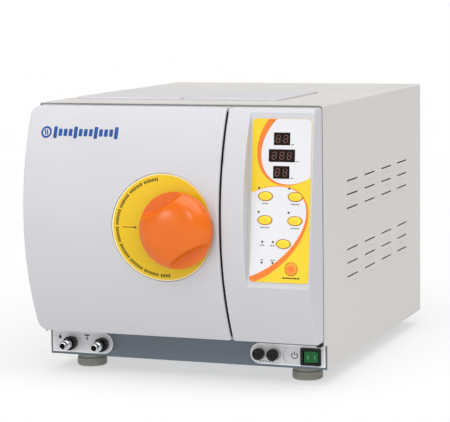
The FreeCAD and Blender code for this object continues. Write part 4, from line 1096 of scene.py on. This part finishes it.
# ---- control panel ------------------------------------------------------------------------------
@dataclass
class Keypad:
    """The printed membrane with its keys, displays and lights. Places are in millimetres on its facet."""

    tilt: float = 6.08
    top: float = 115.0
    bottom: float = -117.0
    half: float = 44.1
    sheet: Point = (0.02, 0.98)
    print_height: float = -0.02
    thickness: float = 0.06
    board: float = -12.0
    key_size: Point = (22.0, 13.0)
    key_top: float = 0.9
    stem: tuple[Point, ...] = ((3.0, -1.5), (3.0, -4.4), (0.0, -4.4), (0.0, -1.5))
    keys: dict[str, Point] = field(default_factory=lambda: {
        "key_program": (-22.4, 5.0), "key_temperature": (22.2, 5.0), "key_pressure": (-22.4, -29.0),
        "key_drying": (22.4, -29.0), "key_cycle": (6.0, -62.0)})
    start: Point = (18.5, -97.0)
    start_radius: float = 9.3
    lights: tuple[Point, ...] = ((-32.3, 16.6), (12.8, 16.6), (-32.3, -17.5), (12.8, -17.5),
                                 (-25.8, -59.7), (-9.7, -59.7), (-25.8, -89.3), (-9.7, -89.3))
    light_radius: float = 1.4
    displays: tuple[tuple[float, float, float, float, int], ...] = (
        (0.3, 86.7, 24.4, 18.0, 2), (0.6, 62.9, 39.3, 18.0, 3), (0.3, 39.3, 24.4, 18.0, 2))
    digits: tuple[str, ...] = ("bcdefg", "abcdeg", "abcdefg")

    def place(self, x: float = 0.0, y: float = 0.0, out: float = 0.0) -> Matrix:
        """Frame on the facet.

        Args:
            x: To the right of its middle, in millimetres.
            y: Up the facet.
            out: Out of the facet.

        Returns:
            The frame, with Z out of the facet.
        """
        low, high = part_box("keypad_membrane")
        angle = math.radians(self.tilt)
        front, back = self.sheet
        origin = Vector(((low.x + high.x) / 2,
                         low.y - (self.bottom * math.sin(angle) + front * math.cos(angle)) * MM,
                         low.z - (self.bottom * math.cos(angle) - back * math.sin(angle)) * MM))
        frame = Matrix.Translation(origin) @ Matrix.Rotation(-angle, 4, "X") @ FRONT_TURN
        return frame @ Matrix.Translation((x * MM, y * MM, out * MM))

    def holes(self) -> list[list[Point]]:
        """Outlines of everything that comes through the membrane, a little larger.

        Returns:
            The outlines.
        """
        width, height = self.key_size
        found = [ellipse(x, y, width / 2 + 0.5, height / 2 + 0.5, 0.0, 64) for x, y in self.keys.values()]
        found.append(circle(*self.start, self.start_radius + 0.5))
        found += [circle(x, y, self.light_radius + 0.3, 20) for x, y in self.lights]
        found += [bar(x, y, width + 0.1, height + 0.1) for x, y, width, height, _ in self.displays]
        return found

    def film(self) -> None:
        """Print the white fields and the orange sweeps."""
        edge = 0.25
        sheet = panel(-self.half + edge, self.half - edge, self.bottom + edge, self.top - edge,
                      (5, 5, 6, 6))
        fields = [sheet,
                  ellipse(20.8, 82.4, 51.8, 66.5, -36.2), ellipse(26.5, 80.3, 48.4, 65.0, -42.9),
                  ellipse(-38.7, -53.1, 56.4, 93.6, -50.9), ellipse(-39.1, -48.2, 52.4, 88.8, -53.7)]
        outlines = fields + self.holes()

        def clear(owners: set[int]) -> bool:
            """Whether a region lies on the sheet and in no hole."""
            return 0 in owners and max(owners) < len(fields)

        white = plate("film_white", outlines, lambda owners: clear(owners) and bool(owners & {2, 4}),
                      self.thickness, self.place(out=self.print_height))
        orange = plate("film_orange", outlines,
                       lambda owners: clear(owners) and bool(owners & {1, 3}) and not owners & {2, 4},
                       self.thickness, self.place(out=self.print_height))
        finish_piece(white, WHITE_FILM, Body.CHASSIS, "keypad_overlay")
        finish_piece(orange, ORANGE_FILM, Body.CHASSIS, "keypad_overlay")

    def legends(self) -> None:
        """Print short rows of dashes where labels would stand."""
        rows = [(-22.4, -5.6, 9.0, 3), (22.2, -5.6, 13.0, 4), (-22.4, -39.6, 14.5, 4),
                (22.4, -39.6, 13.0, 4), (-25.8, -64.6, 7.5, 2), (-10.4, -65.0, 7.5, 2),
                (-25.8, -85.6, 5.0, 2), (-9.7, -85.6, 7.0, 2), (18.5, -110.0, 26.0, 6)]
        marks = []
        for x, y, width, count in rows:
            pitch = width / count
            tall = 1.9 if width > 20 else 1.2
            marks += [bar(x + (k - (count - 1) / 2) * pitch, y, pitch * 0.78, tall) for k in range(count)]
        grey = [bar(x + width / 2 + 3.6, y - height / 2 + 1.0, 5.0, 1.1)
                for x, y, width, height, _ in self.displays]
        place = self.place(out=self.print_height + self.thickness)
        for name, outlines, finish in (("legend_marks", marks, INK), ("unit_marks", grey, GREY_INK)):
            finish_piece(plate(name, outlines, inside, 0.05, place), finish, Body.CHASSIS, "keypad_overlay")

    def oval_keys(self) -> None:
        """Domed caps on their stems, each with its printed rim."""
        width, height = self.key_size
        for name, (x, y) in self.keys.items():
            frame = self.place(x, y)
            cap = turned(name + "_cap", [
                (0.0, 1.75), (4.0, 1.68), (7.2, 1.4), (9.2, 1.0), (10.3, 0.6), (10.8, 0.2),
                (11.0, -0.3), (11.0, -2.0), (0.0, -2.0)], Matrix(), steps=72)
            cap.data.transform(Matrix.Diagonal((1, height / width, 1, 1)))
            cap.data.transform(frame)
            # the key's print carries a painted highlight in its middle
            finish = KeyFilmWithHighlight("key_print_and_highlight_" + name[4:], srgb(255, 213, 60), 0.3, grain=0.5, grain_depth=0.004,
                             mottle=0.01, uniform=FILM, centre=tuple(frame.translation),
                             turn=-math.radians(self.tilt), half=(width / 2 * MM, height / 2 * MM),
                             outline=srgb(196, 128, 28), middle=srgb(252, 196, 24))
            stem = turned(name + "_stem", self.stem, frame, closed=True, steps=24)
            finish_piece(joined("cap_" + name[4:], [cap, stem]), finish, Body(name), "oval_key", name)

    def start_button(self) -> None:
        """Round orange cap with a triangle on it."""
        frame = self.place(*self.start)
        radius = self.start_radius
        cap = turned("start_cap", [(0.0, 1.5), (4.5, 1.42), (7.0, 1.15), (8.4, 0.7), (9.0, 0.25),
                                   (radius, -0.3), (radius, -2.0), (0.0, -2.0)], frame, steps=72)
        stem = turned("start_stem", self.stem, frame, closed=True, steps=24)
        # the key's print carries a painted highlight in its middle
        finish = KeyFilmWithHighlight("key_print_and_highlight_start", srgb(250, 158, 52), 0.3, grain=0.5, grain_depth=0.004,
                         mottle=0.01, uniform=FILM, centre=tuple(frame.translation),
                         turn=-math.radians(self.tilt), half=(radius * MM, radius * MM),
                         outline=srgb(226, 128, 40), middle=srgb(246, 128, 40))
        finish_piece(joined("cap_start", [cap, stem]), finish, Body.START_KEY, "start_key", "start_key")
        outer = circle(0, 0, 4.9, 48)
        inner = circle(0, 0, 4.2, 48)
        arrow = [(-1.7, -2.5), (2.8, 0.0), (-1.7, 2.5)]
        mark = plate("start_mark", [outer, inner, arrow], lambda owners: owners in ({0}, {0, 1, 2}), 0.3,
                     self.place(*self.start, 1.2))
        finish_piece(mark, TRIANGLE_INK, Body.START_KEY, "start_key")

    def windows(self) -> None:
        """Dark display windows with slanted seven-bar figures."""
        slabs, figures, unlit = [], [], []
        for index, (x, y, width, height, count) in enumerate(self.displays):
            outline = panel(-width / 2 + 0.2, width / 2 - 0.2, -height / 2 + 0.2, height / 2 - 0.2,
                            (0.6,) * 4)
            slabs.append(plate(f"window_{index}", [outline], inside, 12.3,
                               self.place(x, y, self.board), 0.15))
            for k in range(count):
                middle = x + (k - (count - 1) / 2) * 11.2
                lit = self.digits[(index + k) % len(self.digits)]
                for bars, wanted in ((figures, True), (unlit, False)):
                    bars += [self.segment(middle, y, letter) for letter in "abcdefg"
                             if (letter in lit) == wanted]
        finish_piece(joined("display_windows", slabs), LENS, Body.CHASSIS, "display_glass",
                     "display_modules")
        place = self.place(out=0.3)
        for name, outlines, finish in (("display_figures", figures, SEGMENT),
                                       ("display_unlit", unlit, UNLIT)):
            finish_piece(plate(name, outlines, inside, 0.05, place), finish, Body.CHASSIS, "display_glass")

    @staticmethod
    def segment(x: float, y: float, letter: str) -> list[Point]:
        """Outline of one bar of a slanted figure.

        Args:
            x: Middle of the figure.
            y: Middle of the figure.
            letter: The bar's usual letter, a to g.

        Returns:
            Its outline in millimetres.
        """
        wide, tall, thick = 5.6, 5.0, 1.2
        level = {"a": tall, "d": -tall, "g": 0.0}
        side = {"b": (1, 1), "c": (1, -1), "e": (-1, -1), "f": (-1, 1)}
        if letter in level:
            corners = [(u, level[letter] + v) for u, v in
                       ((-wide / 2 + 0.4, 0), (-wide / 2 + 0.9, -thick / 2), (wide / 2 - 0.9, -thick / 2),
                        (wide / 2 - 0.4, 0), (wide / 2 - 0.9, thick / 2), (-wide / 2 + 0.9, thick / 2))]
        else:
            across, up = side[letter]
            middle = up * tall / 2
            corners = [(across * wide / 2 + u, middle + v) for u, v in
                       ((0, -tall / 2 + 0.35), (thick / 2, -tall / 2 + 0.9), (thick / 2, tall / 2 - 0.9),
                        (0, tall / 2 - 0.35), (-thick / 2, tall / 2 - 0.9), (-thick / 2, -tall / 2 + 0.9))]
        return [(x + u + v * 0.12, y + v) for u, v in corners]

    def lamps(self) -> None:
        """Small dark lenses of the indicator lights."""
        radius = self.light_radius
        made = [turned(f"lamp_{k}", [(0.0, 0.7), (0.6, 0.62), (1.1, 0.35), (radius, -0.1), (radius, -9.0),
                                     (radius + 0.4, -9.0), (radius + 0.4, -12.0), (0.0, -12.0)],
                       self.place(x, y), steps=24) for k, (x, y) in enumerate(self.lights)]
        finish_piece(joined("indicator_lenses", made), LED_LENS, Body.CHASSIS, "led_lens", "indicator_leds")

    def build(self) -> None:
        """Make the whole keypad."""
        self.film()
        self.legends()
        self.oval_keys()
        self.start_button()
        self.windows()
        self.lamps()


# ---- base strip ---------------------------------------------------------------------------------
@dataclass
class BaseStrip:
    """Drain fittings, labels and the mains switch along the set-back strip."""

    drains: tuple[tuple[float, Body, str], ...] = (
        (-185.3, Body.RING_LEFT, "drain_ring_left"), (-133.4, Body.RING_RIGHT, "drain_ring_right"))
    drain_z: float = 43.2
    front: float = -211.0
    fuses: Point = (117.3, 139.4)
    fuse_z: float = 43.0
    switch: Point = (196.6, 42.2)
    rocker_tilt: float = 8.0

    def nozzles(self) -> None:
        """Chrome hose nozzles with a collar, and a dark lining in each of their holes that is painted shade.
        """
        made, bore_shades = [], []
        for x, _, name in self.drains:
            place = facing((x * MM, self.front * MM, self.drain_z * MM))
            made.append(turned("nozzle_" + name, [
                (4.3, 31.0), (4.4, 38.2), (5.2, 38.5), (6.1, 37.6), (6.3, 35.6), (6.1, 34.6), (5.2, 34.0),
                (5.2, 28.8), (5.9, 28.2), (7.1, 27.4), (7.7, 26.4), (7.7, 20.5), (6.9, 19.2), (5.0, 18.4),
                (5.0, 5.0), (8.0, 5.0), (8.0, -23.0), (0.0, -23.0), (0.0, 31.0)], place, 0.25, closed=True))
            # a dark lining inside each bore paints the shade there
            bore_shades.append(turned("bore_" + name, [
                (0.0, 31.6), (4.2, 31.8), (4.35, 38.0), (4.39, 37.4), (4.3, 31.3),
                (0.0, 31.2)], place, closed=True, steps=32))
        finish_piece(joined("drain_nozzles", made), CHROME, Body.CHASSIS, "chrome", "drain_valves")
        finish_piece(joined("drain_bore_shades", bore_shades), BORE_SHADE, Body.CHASSIS, "black_rubber")

    def rings(self) -> None:
        """Ribbed hand rings."""
        for x, body, name in self.drains:
            outer = []
            for step in range(144):
                angle = math.tau * step / 144
                reach = 10.25 + 0.5 * math.cos(18 * angle)
                outer.append((reach * math.cos(angle), reach * math.sin(angle)))
            low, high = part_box(name)
            ring = plate("grip_" + name, [outer, circle(0, 0, 5.1)], ring_only, (high.y - low.y) / MM,
                         facing((x * MM, high.y, self.drain_z * MM)), 0.7)
            finish_piece(ring, GLOSS_BLACK, body, "black_plastic", name)

    def prints(self) -> None:
        """Borders, pictograms and arcs on the two label plates."""
        place = facing((0.0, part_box("strip_labels")[0].y, 0.0))
        left, right = (-218.5, -118.5, 27.5, 60.0), (103.0, 218.5, 27.5, 58.5)
        rims = []
        for edges, radii, inner in ((left, (1, 16, 16, 1), (1, 14.4, 14.4, 1)),
                                    (right, (15, 1, 1, 15), (13.4, 1, 1, 13.4))):
            x0, x1, y0, y1 = edges
            rims += [panel(*edges, radii), panel(x0 + 1.6, x1 - 1.6, y0 + 1.6, y1 - 1.6, inner)]
        holes = [circle(x, self.drain_z, 8.4) for x, _, _ in self.drains]
        holes += [circle(x, self.fuse_z, 6.4) for x in self.fuses]
        finish_piece(plate("label_borders", rims + holes, ring_only_of(rims), 0.05, place), LABEL_EDGE,
                     Body.CHASSIS, "label_plate")
        drop = [(-206.2, 54.6)] + arc(-206.2, 49.9, 2.3, 35, -215, 16)
        shelf = [panel(-165.5, -156.5, 54.0, 56.0, (0.6,) * 4),
                 ribbon([(-161.0, 54.5), (-161.0, 48.5)], 1.4),
                 [(-163.2, 50.2), (-161.0, 47.4), (-158.8, 50.2)]]
        power = [ribbon(arc(171.4, 42.8, 4.4, 125, 415, 36), 1.3), bar(171.4, 46.0, 1.3, 5.2)]
        crescents = [ribbon(arc(x, self.fuse_z, 10.2, -58, 58, 28), 0.6) for x in self.fuses[1:]]
        crescents += [ribbon(arc(169.0, self.fuse_z, 14.5, 128, 232, 24), 0.6)]
        dashes = [bar(self.fuses[0] + 1.4 + k * 4.6, 32.0, 2.6, 1.2) for k in range(5)]
        small = [bar(-206.2 + k * 3.2, 37.0, 1.8, 1.0) for k in (-1, 0)]
        marks = [drop] + shelf + power + dashes + small
        for name, outlines, finish in (("strip_marks", marks, INK), ("strip_arcs", crescents, GREY_INK)):
            finish_piece(plate(name, outlines, inside, 0.05, place), finish, Body.CHASSIS, "label_plate")

    def rocker(self) -> None:
        """Translucent rocker with rounded edges and its two marks."""
        x, z = self.switch
        pivot = self.front + 4.0
        turn = (Matrix.Translation((x * MM, pivot * MM, z * MM))
                @ Matrix.Rotation(math.radians(self.rocker_tilt), 4, "Z"))
        side = [(-10.3, -8.2), (-5.2, -7.1), (0.0, -6.7), (5.2, -7.1), (10.3, -8.2), (10.0, 1.0),
                (0.0, 5.0), (-10.0, 1.0)]
        half = 8.3
        points = [(u * MM, v * MM, s * half * MM) for s in (-1, 1) for u, v in side]
        count = len(side)
        faces = [tuple(reversed(range(count))), tuple(range(count, 2 * count))]
        faces += [(k, (k + 1) % count, count + (k + 1) % count, count + k) for k in range(count)]
        body = cage("rocker_cap", points, faces)
        rounded(body, 0.7 * MM, 3)
        finish_piece(settle(body, turn), ROCKER, Body.ROCKER, "green_rocker", "power_rocker")
        marks = plate("rocker_marks", [circle(-5.4, 0, 2.3), circle(-5.4, 0, 1.6), bar(5.4, 0, 0.8, 4.4)],
                      lambda owners: owners in ({0}, {2}), 0.35,
                      turn @ FRONT_TURN @ Matrix.Translation((0, 0, 6.95 * MM)))
        finish_piece(marks, ROCKER_MARK, Body.ROCKER, "green_rocker")

    def build(self) -> None:
        """Make everything on the strip."""
        self.nozzles()
        self.rings()
        self.prints()
        self.rocker()


def ring_only_of(rims: Sequence[Sequence[Point]]) -> Callable[[set[int]], bool]:
    """Rule that fills the border between each pair of outlines and leaves every later outline open."""
    count = len(rims)
    return lambda owners: bool(owners) and max(owners) < count and len(owners) == 1 and min(owners) % 2 == 0


# ---- feet ---------------------------------------------------------------------------------------
@dataclass
class Feet:
    """Four turned rubber feet, the front pair with a groove round them."""

    places: tuple[Point, ...] = ((-175.5, -163.0), (175.5, -163.0), (-150.0, 242.0), (150.0, 242.0))
    radius: float = 23.0
    height: float = 24.0

    def build(self) -> None:
        """Turn the four feet."""
        profile = [(0.0, self.height), (20.6, self.height), (22.0, 23.4), (22.4, 15.6), (20.2, 15.0),
                   (20.2, 13.2), (22.5, 12.6), (self.radius, 6.0), (22.6, 1.6), (21.2, 0.3), (19.0, 0.0),
                   (9.0, 0.0), (8.0, 1.4), (0.0, 1.4)]
        made = [turned(f"foot_{k}", profile, Matrix.Translation((x * MM, y * MM, 0)), 0.3)
                for k, (x, y) in enumerate(self.places)]
        finish_piece(joined("rubber_feet", made), FOOT_RUBBER, Body.CHASSIS, "foot_rubber", "feet")


# ---- studio -------------------------------------------------------------------------------------
@dataclass
class Studio:
    """White floor, soft lamps and the camera."""

    azimuth: float = 20.719
    elevation: float = 7.031
    roll: float = -0.792
    camera_place: tuple[float, float, float] = (1.0265, -2.751, 0.587)
    lens: float = 149.3
    floor_size: float = 400.0
    sky: float = 0.42
    glow: float = 0.58
    sun: float = 3.0
    glint: float = 0.17
    glint_spread: float = 6.0

    def camera(self) -> None:
        """Point the camera at the front's right."""
        side, up = math.radians(self.azimuth), math.radians(self.elevation)
        back = Vector((math.sin(side) * math.cos(up), -math.cos(side) * math.cos(up), math.sin(up)))
        right = (-back).cross(Vector((0, 0, 1))).normalized()
        level = Matrix((right, back.cross(right), back)).transposed()
        turn = level @ Matrix.Rotation(math.radians(self.roll), 3, "Z")
        data = bpy.data.cameras.new("camera")
        data.lens = self.lens
        data.sensor_width = 36.0
        data.clip_end = 1000.0
        made = bpy.data.objects.new("camera", data)
        made.matrix_world = Matrix.Translation(Vector(self.camera_place)) @ turn.to_4x4()
        bpy.context.scene.collection.objects.link(made)
        bpy.context.scene.camera = made

    def lamp(self, name: str, towards: Sequence[float], strength: float, spread: float) -> None:
        """Add a soft lamp that lights everything alike.

        Args:
            name: Its name.
            towards: The direction in which its light falls.
            strength: Its strength.
            spread: How wide it looks from the floor, in degrees.
        """
        data = bpy.data.lights.new(name, "SUN")
        data.energy = strength
        data.angle = math.radians(spread)
        made = bpy.data.objects.new(name, data)
        made.rotation_euler = Vector(towards).to_track_quat("-Z", "Y").to_euler()
        made.location = (0, 0, 3)
        bpy.context.scene.collection.objects.link(made)

    def floor(self) -> None:
        """Lay the floor and set the sky."""
        half = self.floor_size
        ground = cage("floor", [(-half, -half, 0), (half, -half, 0), (half, half, 0), (-half, half, 0)],
                      [(0, 1, 2, 3)])
        finish = Finish("floor_paper", (0.3, 0.3, 0.3), 0.9, grain=3.0, grain_depth=0.0, mottle=0.004,
                        mottle_size=900, smudge=0.0, uniform={"Emission_Color": (1.0, 1.0, 1.0),
                                                              "Emission_Strength": self.glow})
        ground.data.materials.append(finish.build())
        world = bpy.data.worlds.new("sky")
        world.use_nodes = True
        shade = world.node_tree.nodes["Background"]
        shade.inputs["Color"].default_value = (1.0, 1.0, 1.0, 1.0)
        shade.inputs["Strength"].default_value = self.sky
        bpy.context.scene.world = world

    def build(self) -> None:
        """Set up the floor, the lamps and the camera."""
        self.floor()
        self.lamp("overhead_softbox", (-0.18, 0.36, -0.88), self.sun, 75.0)
        self.lamp("left_softbox", (0.45, 0.89, -0.09), self.glint, self.glint_spread)
        self.lamp("middle_softbox", (-0.03, 0.97, -0.25), self.glint, self.glint_spread)
        self.camera()
        bpy.context.scene.view_settings.view_transform = "Standard"
        bpy.context.scene.view_settings.look = "None"


def clear_scene() -> None:
    """Remove what a new file holds."""
    for item in list(bpy.data.objects):
        bpy.data.objects.remove(item)


def corners(box: tuple[Vector, Vector]) -> list[list[float]]:
    """A box as plain lists of numbers."""
    return [[float(value) for value in corner] for corner in box]


def main() -> None:
    """Load the frame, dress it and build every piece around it."""
    logging.basicConfig(level=logging.INFO, format="%(name)s %(message)s", stream=sys.stdout)
    clear_scene()
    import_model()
    bow_radius = 0.352
    bow = Bow(bow_radius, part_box("door_cover")[0].y + bow_radius, 0.242)
    for node, finish in NODE_FINISHES.items():
        dress(node, finish)
    for part in (DoorDial(bow), DoorBadge(bow), EdgeShadeStrip(bow), Keypad(), BaseStrip(), Feet(), Studio()):
        part.build()


if __name__ == "__main__":
    main()
